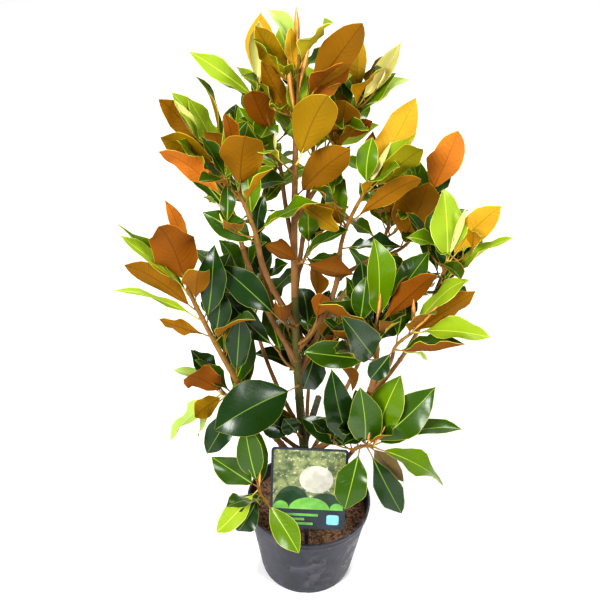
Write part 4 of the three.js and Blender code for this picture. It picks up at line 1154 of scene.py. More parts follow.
def tint_materials():
    """The materials of each tint, in the order of FINISHES."""
    made = {}
    for tint, row in TINTS.items():
        colours = dict(zip(TINT_PARTS, row))
        finishes = YOUNG_FINISHES if tint in YOUNG else FINISHES
        made[tint] = [leaf_material(f"leaf {part}, {tint}", colours[part], *finishes[part]) for part in FINISHES]
    return made


LEAF_MATERIALS = tint_materials()

# ---------------------------------------------------------------- leaf blades

BLADE_ROWS = (0, 0.06, 0.15, 0.26, 0.38, 0.5, 0.61, 0.72, 0.82, 0.91, 0.97, 1)
# The columns across a blade: share of the half width, how much of the rim's width and of the rib's
# width it is set in by, and how far it stands off the blade's middle surface, in millimetres.
# A plain leaf is straight from rib to rim, and a hollow one has another column half way.
UPPER_COLUMNS = {
    "plain": ((-1, 1, 0, 0.2), (0, 0, -1, 0.16), (0, 0, 1, 0.16), (1, -1, 0, 0.2)),
    "hollow": (
        (-1, 1, 0, 0.22), (-0.5, 0, 0, 0.26), (0, 0, -1, 0.18), (0, 0, 1, 0.18), (0.5, 0, 0, 0.26), (1, -1, 0, 0.22),
    ),
}
UNDER_COLUMNS = {
    "plain": ((-1, 1, 0, -0.24), (0, 0, -1, -0.6), (0, 0, 1, -0.6), (1, -1, 0, -0.24)),
    "hollow": (
        (-1, 1, 0, -0.24), (-0.5, 0, 0, -0.3), (0, 0, -1, -0.6), (0, 0, 1, -0.6), (0.5, 0, 0, -0.3), (1, -1, 0, -0.24),
    ),
}
RIM_COLUMNS = ((-1, 0, 0, 0), (1, 0, 0, 0))
UPPER_STRIPS = {"plain": (0, 1, 2, 1, 0), "hollow": (0, 1, 1, 2, 1, 1, 0)}
UNDER_STRIPS = {"plain": (0, 3, 4, 3, 0), "hollow": (0, 3, 3, 4, 3, 3, 0)}
RIM_WIDTH = 0.65
RIB_WIDTH = 1.0
RIB_TAPER = 0.6  # that the rib loses from base to tip
WIDEST_RIM = 0.2  # of the half width
WIDEST_RIB = 0.3
VEIN_SPACING = 8.5
VEIN_LEAN = 0.75
HALVES_APART = 1.1  # radians that each half's wave is shifted, the two of them opposite ways
MARGIN = {"depth": 0.2, "pace": 1.5, "phase": 1.7}  # the margin's own ripple, as shares of the wave's
TIP_DRAWN = (0.3, 5.0)  # how much, and how suddenly, a blade is drawn out to its tip
BASE_DRAWN = 2.0
BASE_EASE = 0.08  # of the blade, over which its thickness grows
HOOK_START = 0.66
TWIST_START = 0.15
MERGE = 0.00002


def blade_pattern(kind):
    """One leaf's blade as a flat closed net, whose corners carry where they lie on a leaf."""
    upper_strips = UPPER_STRIPS[kind]
    ring = [RIM_COLUMNS[0], *UPPER_COLUMNS[kind], RIM_COLUMNS[1], *reversed(UNDER_COLUMNS[kind])]
    strips = [*upper_strips, *reversed(UNDER_STRIPS[kind])]
    points, faces, kinds = [], [], []
    for share in BLADE_ROWS:
        points += [(column[0] * 0.01, share * 0.05, column[3] * MM) for column in ring]
    size = len(ring)
    for i in range(len(BLADE_ROWS) - 1):
        for k in range(size):
            a, b = i * size + k, i * size + (k + 1) % size
            # Both sides are split along the same diagonals, so that they bend as one.
            if k < len(upper_strips):
                faces += [(a, a + size, b + size), (a, b + size, b)]
            else:
                faces += [(a, a + size, b), (b, a + size, b + size)]
            kinds += [strips[k]] * 2
    pattern = mesh_object(f"{kind} blade pattern", points, faces)
    spread = [column for _ in BLADE_ROWS for column in ring]
    for number, (key, unit_size) in enumerate((("across", 1), ("from_rim", 1), ("from_rib", 1), ("standing", MM))):
        give_attribute(pattern, key, [column[number] * unit_size for column in spread])
    give_attribute(pattern, "share", [share for share in BLADE_ROWS for _ in ring])
    give_attribute(pattern, "strip", kinds, domain="FACE")
    return pattern


def make_blade_tree(tints):
    """Sets the blade on each seed point and bends it to that leaf's own sizes."""
    tree = Tree.new(
        "leaf blades", "GeometryNodeTree",
        [
            ("Geometry", "Geometry", None), ("Blade", "Object", None), ("Petiole Share", "Float", PETIOLE),
            ("Rim Width", "Float", RIM_WIDTH * MM), ("Rib Width", "Float", RIB_WIDTH * MM),
            ("Vein Spacing", "Float", VEIN_SPACING * MM),
        ],
        [("Geometry", "Geometry")],
    )
    info = tree.add("ObjectInfo", {0: tree.given("Blade")}, transform_space="ORIGINAL")
    placed = tree.add("InstanceOnPoints", {"Points": tree.given("Geometry"), "Instance": info.outputs["Geometry"]})
    real = tree.out(tree.add("RealizeInstances", {"Geometry": placed.outputs[0]}))
    get = tree.attribute
    share, across = get("share"), get("across")
    length, width, bend, curl, sway = (get(k) for k in ("length", "width", "bend", "curl", "sway"))
    root, axis, top = (get(k, "FLOAT_VECTOR") for k in ("root", "axis", "top"))

    arch = tree.math("MAXIMUM", tree.math("SINE", (share ** get("belly")) * math.pi), 0.0)
    wedge = get("fullness") + get("wedge") * (1 - share) ** BASE_DRAWN + TIP_DRAWN[0] * share ** TIP_DRAWN[1]
    margin_phase = get("phase") * MARGIN["phase"] + tree.math("SIGN", across) * HALVES_APART
    ripple = tree.math("SINE", share * get("waves") * MARGIN["pace"] + margin_phase)
    ripple = ripple * arch * get("wave") * MARGIN["depth"]
    half = tree.math("MAXIMUM", (arch ** wedge) * width * 0.5 + ripple, 1e-5)
    thin = 1 - RIB_TAPER * share
    rim = tree.math("MINIMUM", tree.given("Rim Width") / half, WIDEST_RIM)
    rib = tree.math("MINIMUM", tree.given("Rib Width") * thin / half, WIDEST_RIB)
    u = across + get("from_rim") * rim + get("from_rib") * rib

    turn = curl * u
    radius = half / curl
    standing = get("standing") * tree.ramp(share, 0.0, BASE_EASE)
    sideways = radius * tree.math("SINE", turn) - standing * tree.math("SINE", turn)
    upwards = radius * (1 - tree.math("COSINE", turn)) + standing * tree.math("COSINE", turn)
    sunk = radius * get("sunk")
    side_phase = get("phase") + tree.math("SIGN", u) * HALVES_APART
    swell = tree.math("SINE", share * get("waves") + side_phase) * u * u
    wave = swell * get("wave") * tree.math("SINE", share * math.pi)
    hook = get("hook") * length * (tree.math("MAXIMUM", share - HOOK_START, 0.0) ** 2.0)
    upwards = upwards - sunk + wave

    v = tree.given("Petiole Share") + (1 - tree.given("Petiole Share")) * share
    slope = bend * (v - 0.5)
    sine, cosine = tree.math("SINE", slope), tree.math("COSINE", slope)
    raised = tree.total(tree.scaled(top, cosine), tree.scaled(axis, sine))
    level = tree.vector("CROSS_PRODUCT", top, axis)
    twist = get("twist") * (share - TWIST_START)
    t_sine, t_cosine = tree.math("SINE", twist), tree.math("COSINE", twist)
    out = tree.total(tree.scaled(level, t_cosine), tree.scaled(raised, t_sine))
    lift = tree.total(tree.scaled(raised, t_cosine), tree.scaled(level, t_sine * -1))
    middle = tree.total(
        root, tree.scaled(axis, length * v), tree.scaled(top, length * bend * 0.5 * v * (1 - v)),
        tree.scaled(raised, hook * -1), tree.scaled(level, length * sway * share * (1 - v)),
    )
    place = tree.total(middle, tree.scaled(out, sideways), tree.scaled(lift, upwards))
    set_at = tree.add("SetPosition", {"Geometry": real, "Position": place})

    spacing = tree.given("Vein Spacing")
    order = (length * v - tree.math("ABSOLUTE", u) * half * VEIN_LEAN) / spacing
    lay = tree.add("ShaderNodeCombineXYZ", {0: order, 1: tree.math("ABSOLUTE", u)})
    kept = tree.store(tree.out(set_at), "vein", tree.out(lay), "FLOAT_VECTOR")
    merged = tree.out(tree.add("MergeByDistance", {"Geometry": kept, "Distance": MERGE}))
    smooth = tree.out(tree.add("SetShadeSmooth", {"Geometry": merged}, domain="FACE"))
    on_rim = tree.add("FunctionNodeCompare", {0: tree.math("ABSOLUTE", across), 1: 0.999}, operation="GREATER_THAN")
    flat_edge = {"Geometry": smooth, "Selection": on_rim.outputs[0], "Shade Smooth": False}
    shaded = tree.out(tree.add("SetShadeSmooth", flat_edge, domain="EDGE"))
    for number, tint in enumerate(tints):
        for strip, material in enumerate(LEAF_MATERIALS[tint]):
            code = get("tint") * len(FINISHES) + get("strip")
            wanted = {0: code, 1: float(number * len(FINISHES) + strip), "Epsilon": 0.2}
            pick = tree.add("FunctionNodeCompare", wanted, operation="EQUAL")
            chosen = {"Geometry": shaded, "Selection": pick.outputs[0], "Material": material}
            shaded = tree.out(tree.add("SetMaterial", chosen))
    tree.plug(tree.exit.inputs[0], shaded)
    return tree


BROAD = 36  # millimetres across, from where a blade is curved and not folded
ROUND_BASED = 44  # millimetres across, from where a blade's base is round
CURL = {"boat": 2.1, "rolled": 3.5, "half open": 1.25}  # how far round a leaf's half goes, in radians
CURL_PLAY, CURL_LOST = 0.75, 0.12  # of a flat leaf
BEND_PLAY, BEND_MIDDLE = 26, 0.45
SPARE_WIDTH = 1.1  # of a flat blade, over its low outline
BELLY = {True: (0.9, 0.2), False: (1.02, 0.2)}  # for a round base or a drawn one: the least, and what chance adds
WEDGE = {True: (0.0, 0.3), False: (0.25, 0.3)}
FULLNESS = (0.6, 0.18)
WAVE = (0.0026, 0.0062)
BOAT_WAVE = 0.0055
WAVES = (7, 6)
ROLLED_FULLNESS, ROLLED_WEDGE = 0.85, 0.1
TWIST = {True: 0.3, False: 0.9}  # for a rolled leaf or an open one
HOOK = {True: 0.2, False: 1.0}
HOOK_MIDDLE = 0.3
SWAY = 0.3


def leaf_values(leaf, random, tints):
    """The sizes that the blade tree reads for one leaf, lengths in metres."""
    boat, rolled = leaf["boat"], leaf["rolled"]
    round_based = leaf["width"] > ROUND_BASED
    roll = CURL["half open" if leaf["tint"] == "cream" else "rolled"]
    flat_curl = 2 * math.radians(leaf["fold"]) + CURL_PLAY * random() - CURL_LOST
    return {
        "length": leaf["length"] * MM,
        "width": leaf["width"] * MM * (max(1.0, 0.5 * roll) if rolled else SPARE_WIDTH),
        "bend": math.radians(leaf["bend"] + (0 if rolled or boat else BEND_PLAY * (random() - BEND_MIDDLE))),
        "curl": roll if rolled else CURL["boat"] if boat else flat_curl,
        "sunk": 1.0 if rolled else 0.0,
        "belly": more(*BELLY[round_based], random),
        "fullness": ROLLED_FULLNESS if rolled else more(*FULLNESS, random),
        "wedge": ROLLED_WEDGE if rolled else more(*WEDGE[round_based], random),
        "wave": 0.0 if rolled else BOAT_WAVE if boat else more(*WAVE, random),
        "waves": more(*WAVES, random),
        "phase": 6.28 * random(),
        "twist": (random() - 0.5) * TWIST[rolled],
        "hook": (random() - HOOK_MIDDLE) * HOOK[rolled],
        "sway": 0.0 if rolled else SWAY * (random() - 0.5),
        "tint": float(tints.index(leaf["tint"])),
    }


def blades(name, leaves, pattern, seed):
    """All the leaves of a list as one piece."""
    tints = [t for t in TINTS if any(leaf["tint"] == t for leaf in leaves)]
    random = seeded(seed)
    rows = [leaf_values(leaf, random, tints) for leaf in leaves]
    roots = [leaf["root"] * MM for leaf in leaves]
    seeds = mesh_object(name + " seeds", roots)
    for key in rows[0]:
        give_attribute(seeds, key, [row[key] for row in rows])
    give_attribute(seeds, "root", roots, "FLOAT_VECTOR")
    for key in ("axis", "top"):
        give_attribute(seeds, key, [leaf[key] for leaf in leaves], "FLOAT_VECTOR")
    return grown(seeds, make_blade_tree(tints), {"Blade": pattern}, name)


# ---------------------------------------------------------------- wood and stalks

# Each bark: its tones, the scales of its patches and specks, its roughness from and to, the depth of
# its relief in metres, how much of it is specked, and how far its patches are drawn out along the limb.
BARK_LOOKS = {
    "old bark": ((0x5C5626, 0x42461A, 0x2C2210), (55, 700), (0.5, 0.75), 0.0006, 0.4, 0.35),
    "red bark": ((0x916A3A, 0x77502A, 0x40220E), (45, 800), (0.45, 0.7), 0.0005, 0.4, 0.35),
    "shoot bark": ((0x936A2E, 0x7C5A1E, 0x50300E), (70, 900), (0.4, 0.62), 0.0003, 0.3, 0.35),
    "dead bark": ((0x6E6C5A, 0x54553F, 0x34322A), (120, 800), (0.75, 0.9), 0.0012, 0.5, 1.0),
    "ring scar": ((0x5E3A1E, 0x7E5836, 0x342014), (200, 1500), (0.6, 0.8), 0.0004, 0.4, 1.0),
    "young stalk": ((0xC9C050, 0xB4A03A, 0x8E7C2C), (120, 900), (0.4, 0.6), 0.0002, 0.2, 1.0),
    "old stalk": ((0x9C7A34, 0x8A5A28, 0x5A3818), (120, 900), (0.45, 0.65), 0.0002, 0.3, 1.0),
}
BARKS = {name: mottled_material(name, *look) for name, look in BARK_LOOKS.items()}
BARK_ORDER = list(BARKS)
SCAR_SPACING = {"trunk": 27, "bough": 21, "stem": 14, "twig": 11}  # along a limb
COLLAR = {"bough": 0.5, "shoot": 0.3}  # how much thicker a limb is at its foot
COLLAR_LENGTH = 6
SCAR = {"wander": 0.16, "pace": 0.21, "half_width": 1.6}
FINE_STEP = 1.2
BARK_TURNS = 610  # the height where the trunk's old bark gives way to red


def make_tube_tree():
    """Turns strings of points into round limbs whose bark stands in relief, ringed at each old leaf scar."""
    tree = Tree.new(
        "limbs", "GeometryNodeTree",
        [
            ("Geometry", "Geometry", None), ("Sides", "Int", 12), ("Spacing", "Float", 0.002),
            ("Relief", "Float", 0.0003), ("Relief Scale", "Float", 260.0), ("Scar Height", "Float", 0.0009),
        ],
        [("Geometry", "Geometry")],
    )
    line = tree.out(tree.add("MeshToCurve", {0: tree.given("Geometry")}))
    fine = tree.add("ResampleCurve", {"Curve": line, "Length": tree.given("Spacing")}, mode="LENGTH")
    ring = tree.add("CurvePrimitiveCircle", {"Resolution": tree.given("Sides"), "Radius": 1.0}, mode="RADIUS")
    girth = tree.attribute("girth")
    tube = tree.add(
        "CurveToMesh",
        {"Curve": tree.out(fine), "Profile Curve": ring.outputs[0], "Scale": girth, "Fill Caps": True},
    )
    place = tree.out(tree.add("InputPosition"))
    rough = tree.noise(place, tree.given("Relief Scale"), 3.0) - 0.5
    ringed = tree.attribute("scar")
    pinch = tree.ramp(ringed, 0.55, 0.8) - 1.4 * tree.ramp(ringed, 0.9, 0.98)
    height = rough * 2 * tree.given("Relief") + pinch * tree.given("Scar Height")
    normal = tree.out(tree.add("InputNormal"))
    moved = tree.add("SetPosition", {"Geometry": tube.outputs[0], "Offset": tree.scaled(normal, height)})
    shaded = tree.out(tree.add("SetShadeSmooth", {"Geometry": moved.outputs[0]}, domain="FACE"))
    for number, name in enumerate(BARK_ORDER):
        if name == "ring scar":
            pick = tree.math("GREATER_THAN", ringed, 0.8)
        else:
            pick = tree.math("COMPARE", tree.attribute("bark"), float(number), 0.5)
        shaded = tree.out(tree.add("SetMaterial", {0: shaded, "Selection": pick, "Material": BARKS[name]}))
    real = tree.add("RealizeInstances", {"Geometry": shaded})
    tree.plug(tree.exit.inputs[0], real.outputs[0])
    return tree


TUBE_TREE = make_tube_tree()


def string(path, bark, scar_spacing=0.0, collar=0.0, phase=0.0):
    """A limb's points with their girth, bark and how near each is to a ring scar (0 to 1)."""
    rows = []
    run = 0.0
    last = path[0][0]
    for point, radius in path:
        run += span_of(point - last)
        last = point
        wide = radius * (1 + collar * math.exp(-run / COLLAR_LENGTH))
        near = 0.0
        if scar_spacing:
            turn = (run / scar_spacing + phase + SCAR["wander"] * math.sin(run * SCAR["pace"] + phase * 9)) % 1
            near = max(0.0, 1 - abs(turn - 0.5) * scar_spacing / SCAR["half_width"])
        rows.append((point, wide, bark if isinstance(bark, str) else bark(point), near))
    return rows


def limbs(name, strings, **values):
    """Strings of points as one piece of round limbs."""
    points, edges, girths, barks, scars = [], [], [], [], []
    for rows in strings:
        start = len(points)
        points += [row[0] * MM for row in rows]
        girths += [row[1] * MM for row in rows]
        barks += [float(BARK_ORDER.index(row[2])) for row in rows]
        scars += [row[3] for row in rows]
        edges += [(k, k + 1) for k in range(start, len(points) - 1)]
    seeds = mesh_object(name + " seeds", points, edges=edges)
    give_attribute(seeds, "girth", girths)
    give_attribute(seeds, "bark", barks)
    give_attribute(seeds, "scar", scars)
    return grown(seeds, TUBE_TREE, values, name)


def trunk_bark(point):
    return "old bark" if point[2] < BARK_TURNS + 20 * math.sin(point[2] * 0.07) else "red bark"


def make_wood(paths, masses):
    """The trunk, the boughs, and the shoots that the leaves sit on."""
    random = seeded(71)
    rows = [string(trunk_path(520), trunk_bark, SCAR_SPACING["trunk"], phase=0.3)]
    trunk = limbs("bark_trunk", rows, Sides=20, Spacing=0.0014)
    stands_for(trunk, ["trunk"])
    rows = []
    for name in BOUGHS:
        bark = "dead bark" if name == "cut_stub" else "red bark"
        steps = int(span_of(paths[name][-1][0] - paths[name][0][0]) / FINE_STEP)
        rows.append(string(bough_path(name, paths, steps), bark, SCAR_SPACING["bough"], COLLAR["bough"], random()))
    boughs = limbs("bark_boughs", rows, Sides=14, Spacing=0.0016)
    stands_for(boughs, list(BOUGHS))
    rows = []
    for mass in masses:
        source = MASSES[mass["name"]]
        path = stem_path(source, paths, int(path_length(mass["stem"]) / FINE_STEP) + 2)
        collar = COLLAR["shoot"] if source.get("height") else 0
        rows.append(string(path, "shoot bark", SCAR_SPACING["stem"], collar, random()))
        for twig in mass["twigs"] + mass["fine"]:
            rows.append(string(twig, "shoot bark", SCAR_SPACING["twig"], COLLAR["shoot"], random()))
    shoots = limbs("bark_shoots", rows, Sides=10, Spacing=0.0016, Relief=0.00015)
    stands_for(shoots, [mass["name"] for mass in masses])


STALK = {"thick": 1.1, "thin": 0.9, "long_leaf": 80, "shares": (1.35, 1, 0.95, 0.45)}


def stalk_path(leaf):
    """A leaf's stalk, from inside its twig to a little way under the blade."""
    neck, top = leaf_station(leaf, PETIOLE)
    below, under_top = leaf_station(leaf, PETIOLE + 0.1)
    points = [leaf["seat"], leaf["root"] * 0.5 + neck * 0.5 - top * 0.6, neck - top * 0.35, below - under_top * 0.5]
    wide = STALK["thick"] if leaf["length"] > STALK["long_leaf"] else STALK["thin"]
    girths = [wide * share for share in STALK["shares"]]
    fine = []
    for (a, b), (p, q) in zip(zip(points, points[1:]), zip(girths, girths[1:])):
        for t in (0, 0.34, 0.67):
            fine.append((a + (b - a) * t, p + (q - p) * t))
    fine.append((points[-1], girths[-1]))
    bark = "young stalk" if leaf["tint"] in (*YOUNG, "gold", "olive") else "old stalk"
    return string(fine, bark)


def make_stalks(masses):
    strings = [stalk_path(leaf) for mass in masses for leaf in mass["leaves"]]
    stalks = limbs("leaf_stalks", strings, Sides=6, Spacing=0.003, Relief=0.00006)
    stands_for(stalks, [mass["name"] for mass in masses])


ZONES = {
    "leaves_of_top": ("leaves_young", 101, (
        "leaves_high_left", "leaves_leader", "leaves_upper_right", "leaves_high_right", "leaves_gold_front",
        "leaves_right", "leaves_inner_left", "leaves_upper_left",
    )),
    "leaves_of_right": ("leaves_fresh", 102, (
        "leaves_far_right", "leaves_right_tip", "leaves_front_right", "leaves_front_right_low",
        "leaves_middle_front", "leaves_middle_right", "leaves_middle_back", "leaves_low_behind",
    )),
    "leaves_of_left": ("leaves_full", 103, (
        "leaves_left", "leaves_inner_front_left", "leaves_middle_left", "leaves_big_dark", "leaves_low_side",
    )),
    "leaves_of_foot": ("leaves_full", 104, ("leaves_low_right", "leaves_low_left", "leaves_foot")),
    "leaves_of_back": ("leaves_old", 105, (
        "leaves_back_top", "leaves_back_left", "leaves_back_right", "leaves_back_low_left",
        "leaves_back_low_right", "leaves_back_low",
    )),
}


def is_hollow(leaf):
    """True for a leaf whose halves are curved enough, or broad enough, to need another column."""
    return leaf["rolled"] or leaf["boat"] or leaf["width"] > BROAD


def make_leaves(masses):
    plain, hollow = blade_pattern("plain"), blade_pattern("hollow")
    for name, (slot, seed, members) in ZONES.items():
        leaves = [leaf for mass in masses if mass["name"] in members for leaf in mass["leaves"]]
        narrow = [leaf for leaf in leaves if not is_hollow(leaf)]
        broad = [leaf for leaf in leaves if is_hollow(leaf)]
        stands_for(blades(name, narrow, plain, seed), members)
        stands_for(blades("broad_" + name, broad, hollow, seed + 50), members)
    for pattern in (plain, hollow):
        bpy.data.objects.remove(pattern)


# ---------------------------------------------------------------- pot

POT_ROUNDS = 180
FOOT_BAND = 17  # inwards from the base's edge, that the notches cut
TRUE_RIM = 6  # down from the top, where the wall is round
OUT_OF_TRUE = 0.0025


def pot_radius(height):
    """The wall's outer radius below the rim band."""
    band_foot = POT["height"] - POT["rim_band"]
    return POT["base_radius"] + (POT["rim_radius"] - POT["rim_step"] - POT["base_radius"]) * (height / band_foot)


def arc(middle, radius, start, end, steps, rise=None):
    """Points on an arc in the profile's plane, angles in degrees. rise is an oval's radius upwards."""
    angles = [math.radians(start + (end - start) * i / steps) for i in range(steps + 1)]
    return [(middle[0] + radius * math.cos(a), middle[1] + (rise or radius) * math.sin(a)) for a in angles]


def pot_profile():
    """The pot's section from the middle of its underside, out, up, over the lip and down inside."""
    height, rim, band = POT["height"], POT["rim_radius"], POT["height"] - POT["rim_band"]
    foot, lip = POT["foot_radius"], POT["lip"]
    rows = [(0.0, 1.6), (pot_radius(0) - foot - 12, 1.6), (pot_radius(0) - foot - 10.5, 0.0)]
    rows += arc((pot_radius(0) - foot, foot), foot, -90, -8, 8)
    rows += [(pot_radius(z), z) for z in (12, 20, 32, 48, 66, 84, 102, 118, 130, 138)]
    rows += [(pot_radius(band) - 0.1, band - 1.2), (pot_radius(band) + 0.5, band - 0.3), (rim - 1.7, band + 0.5)]
    rows += [(rim - 1.15, band + 1.4), (rim - 1.0, band + 5), (rim - 0.9, band + 9)]
    rows += arc((rim - lip, height - lip), lip, -35, 175, 12)
    rows += [(rim - 2 * lip + 0.2, height - 4.5), (rim - 2 * lip, band + 2), (pot_radius(band) - 2.2, band - 1)]
    rows += [(pot_radius(z) - POT["wall"], z) for z in (130, 110, 60, 12)]
    rows += [(pot_radius(6) - POT["wall"] - 4, POT["floor"] + 0.2), (0.0, POT["floor"])]
    return rows


def revolve(name, rows, rounds, shape):
    """A closed solid of revolution. shape moves a corner, given its angle, radius and height."""
    points, faces = [], []
    for radius, z in rows:
        for k in range(rounds if radius > 0 else 1):
            angle = 2 * math.pi * k / rounds - math.pi / 2
            r, h = shape(angle, radius, z) if radius > 0 else (radius, z)
            points.append((r * math.cos(angle) * MM, r * math.sin(angle) * MM, h * MM))
    start = 0
    for (a, _), (b, _) in zip(rows, rows[1:]):
        count_a, count_b = (rounds if a > 0 else 1), (rounds if b > 0 else 1)
        after = start + count_a
        for k in range(rounds):
            n = (k + 1) % rounds
            if count_a == 1:
                faces.append((start, after + n, after + k))
            elif count_b == 1:
                faces.append((start + k, start + n, after))
            else:
                faces.append((start + k, start + n, after + n, after + k))
        start = after
    return outward(mesh_object(name, points, faces))


def outward(piece, angle=35.0):
    """Turns every face outwards and shades the piece smooth, with its creases kept."""
    shell = bmesh.new()
    shell.from_mesh(piece.data)
    bmesh.ops.recalc_face_normals(shell, faces=shell.faces)
    for face in shell.faces:
        face.smooth = True
    for edge in shell.edges:
        edge.smooth = len(edge.link_faces) == 2 and edge.calc_face_angle(0) < math.radians(angle)
    shell.to_mesh(piece.data)
    shell.free()
    return piece


def make_pot():
    step = 2 * math.pi / POT["notches"]
    half = POT["notch_width"] / 2

    def shape(angle, radius, z):
        # Drain notches lift the foot's edge in low arches, and the thin wall is a little out of true.
        off = ((angle + math.pi / 2 + step / 2) % step - step / 2) * POT["base_radius"]
        arch = POT["notch_height"] * math.sqrt(max(0, 1 - (off / half) ** 2)) if abs(off) < half else 0
        if radius > POT["base_radius"] - FOOT_BAND and z < POT["notch_height"] + 1:
            z = max(z, min(arch, POT["notch_height"]))
        true = 1 if z > POT["height"] - TRUE_RIM else 1 - OUT_OF_TRUE * (1 + math.sin(3 * angle + 0.5))
        return radius * (true if radius > 30 else 1), z

    pot = revolve("nursery_pot", pot_profile(), POT_ROUNDS, shape)
    pot.data.materials.append(make_pot_material())
    stands_for(pot, ["pot"])


def make_pot_material():
    """Slate-grey moulded plastic, dusty in patches, with darker wet splashes and fine scuffs."""
    material, tree, shader = new_material("slate pot plastic", {"Specular IOR Level": 0.24})
    mottle = add_mottle(tree, (0x303038, 0x3A3A43, 0x54545D), (22, 520), 0.35)
    place = tree.add("TexCoord").outputs["Object"]
    splash = tree.noise(place, 62.0, 2.0, 0.5, 0.6) + 0.35 * tree.noise(place, 9.0, 1.0)
    wet = tree.ramp(splash, 0.715, 0.735)
    dust = tree.ramp(tree.noise(place, 18.0, 5.0, 0.65, 1.0), 0.46, 0.7)
    dusty = tree.mix(dust * 0.3, mottle.outputs["Color"], linear(0x84828C))
    tree.plug(shader.inputs["Base Color"], tree.mix(wet * 0.8, dusty, linear(0x1B1B20)))
    tree.plug(shader.inputs["Roughness"], 0.5 + dust * 0.25 - wet * 0.2)
    bump(tree, shader, tree.noise(place, 1400.0, 2.0) * 0.5 + dust * 0.5, 0.00025)
    return material


# ---------------------------------------------------------------- soil

SOIL_MATERIAL = mottled_material(
    "coir soil", (0x7A5E46, 0x54402F, 0xAA9070), (90, 520), (0.85, 1.0), 0.003, 0.5,
)
FIBRE_MATERIAL = mottled_material(
    "coir fibre", (0xB49470, 0x86684A, 0xD0B896), (300, 1500), (0.8, 0.95), 0.0004, 0.5,
)
CHUNK_MATERIAL = mottled_material(
    "bark chips", (0x5A3C2A, 0x3E2A20, 0x8A6A4C), (200, 1200), (0.8, 0.95), 0.0008, 0.4,
)


def chip_shape(name, length, width, height, material):
    """A rough chip of a dozen corners."""
    random = seeded(len(name) * 7 + 3)
    points = []
    for k in range(3):
        t = k / 2 - 0.5
        swell = 1 - 0.45 * abs(t) * 2
        for side, rise in ((-1, 0.1), (-0.4, 1), (0.7, 0.8), (1, -0.2), (0, -1)):
            wobble = 0.75 + 0.5 * random()
            points.append((t * length, side * width / 2 * swell * wobble, rise * height / 2 * swell * wobble))
    faces = [(4, 3, 2, 1, 0), (10, 11, 12, 13, 14)]
    for i in (0, 5):
        for k in range(5):
            n = (k + 1) % 5
            faces.append((i + k, i + n, i + 5 + n, i + 5 + k))
    piece = mesh_object(name, points, faces)
    piece.data.materials.append(material)
    return outward(piece, 60)


def make_scatter_tree():
    """Strews copies of a chip over a surface, lying at chance angles."""
    tree = Tree.new(
        "strewn chips", "GeometryNodeTree",
        [
            ("Geometry", "Geometry", None), ("Chip", "Object", None), ("Density", "Float", 9000.0),
            ("Seed", "Int", 5), ("Tilt", "Float", 0.5), ("Smallest", "Float", 0.5), ("Largest", "Float", 1.3),
            ("Material", "Material", None),
        ],
        [("Geometry", "Geometry")],
    )
    spots = tree.add(
        "DistributePointsOnFaces",
        {"Mesh": tree.given("Geometry"), "Density": tree.given("Density"), "Seed": tree.given("Seed")},
    )
    tilt = tree.given("Tilt")
    span = tree.add("ShaderNodeCombineXYZ", {0: tilt, 1: tilt, 2: math.pi})
    low = tree.scaled(tree.out(span), -1.0)
    turn = tree.add("FunctionNodeRandomValue", {0: low, 1: tree.out(span), "Seed": 3}, data_type="FLOAT_VECTOR")
    size = tree.add(
        "FunctionNodeRandomValue", {2: tree.given("Smallest"), 3: tree.given("Largest"), "Seed": 9}, data_type="FLOAT",
    )
    info = tree.add("ObjectInfo", {0: tree.given("Chip")}, transform_space="ORIGINAL")
    rotation = tree.add("FunctionNodeEulerToRotation", {0: tree.out(turn)})
    placed = tree.add(
        "InstanceOnPoints",
        {
            "Points": spots.outputs[0], "Instance": info.outputs["Geometry"], "Rotation": rotation.outputs[0],
            "Scale": tree.out(size, 1),
        },
    )
    real = tree.add("RealizeInstances", {"Geometry": placed.outputs[0]})
    dressed = tree.add("SetMaterial", {"Geometry": real.outputs[0], "Material": tree.given("Material")})
    tree.plug(tree.exit.inputs[0], dressed.outputs[0])
    return tree


SOIL_SUNK = 1.4
HEAP = {"height": 3.0, "radius": 16}


def soil_height(x, y):
    """The soil's surface, heaped a little round the trunk."""
    wave = math.sin(x * 0.11 + 1.3) * math.cos(y * 0.09) * 1.1 + math.sin(x * 0.31 + y * 0.23) * 0.6
    near = math.hypot(x - TRUNK["foot_x"], y)
    return SOIL_LEVEL - SOIL_SUNK + wave + HEAP["height"] * math.exp(-((near / HEAP["radius"]) ** 2))


def make_soil():
    rows = [(0.0, POT["floor"] + GAP + 0.5), (pot_radius(4) - 6, POT["floor"] + GAP + 0.5)]
    wall = pot_radius(SOIL_LEVEL) - POT["wall"] - GAP
    rows += [(wall - 0.6, SOIL_LEVEL - 4), (wall - 0.9, SOIL_LEVEL)]
    rows += [(wall * share, SOIL_LEVEL) for share in (0.94, 0.86, 0.77, 0.67, 0.57, 0.46, 0.35, 0.25, 0.16, 0.08)]
    rows += [(0.0, SOIL_LEVEL)]

    def shape(angle, radius, z):
        if z < SOIL_LEVEL:
            return radius, z
        return radius, soil_height(radius * math.cos(angle), radius * math.sin(angle))

    soil = revolve("coir_soil", rows, 96, shape)
    soil.data.materials.append(SOIL_MATERIAL)
    stands_for(soil, ["soil"])
    scatter = make_scatter_tree()
    kinds = (
        ("coir_fibres", (13, 0.7, 0.6), FIBRE_MATERIAL, 52000.0, 0.45),
        ("bark_chips", (7, 4.2, 2.2), CHUNK_MATERIAL, 21000.0, 0.5),
    )
    for number, (name, size, material, density, tilt) in enumerate(kinds):
        chip = chip_shape(name + " pattern", *(s * MM for s in size), material)
        ground = mesh_object(name + " ground", *soil_disc())
        values = {"Chip": chip, "Density": density, "Seed": 5 + number, "Tilt": tilt, "Material": material}
        piece = grown(ground, scatter, values, name)
        bpy.data.objects.remove(chip)
        stands_for(piece, ["soil"])


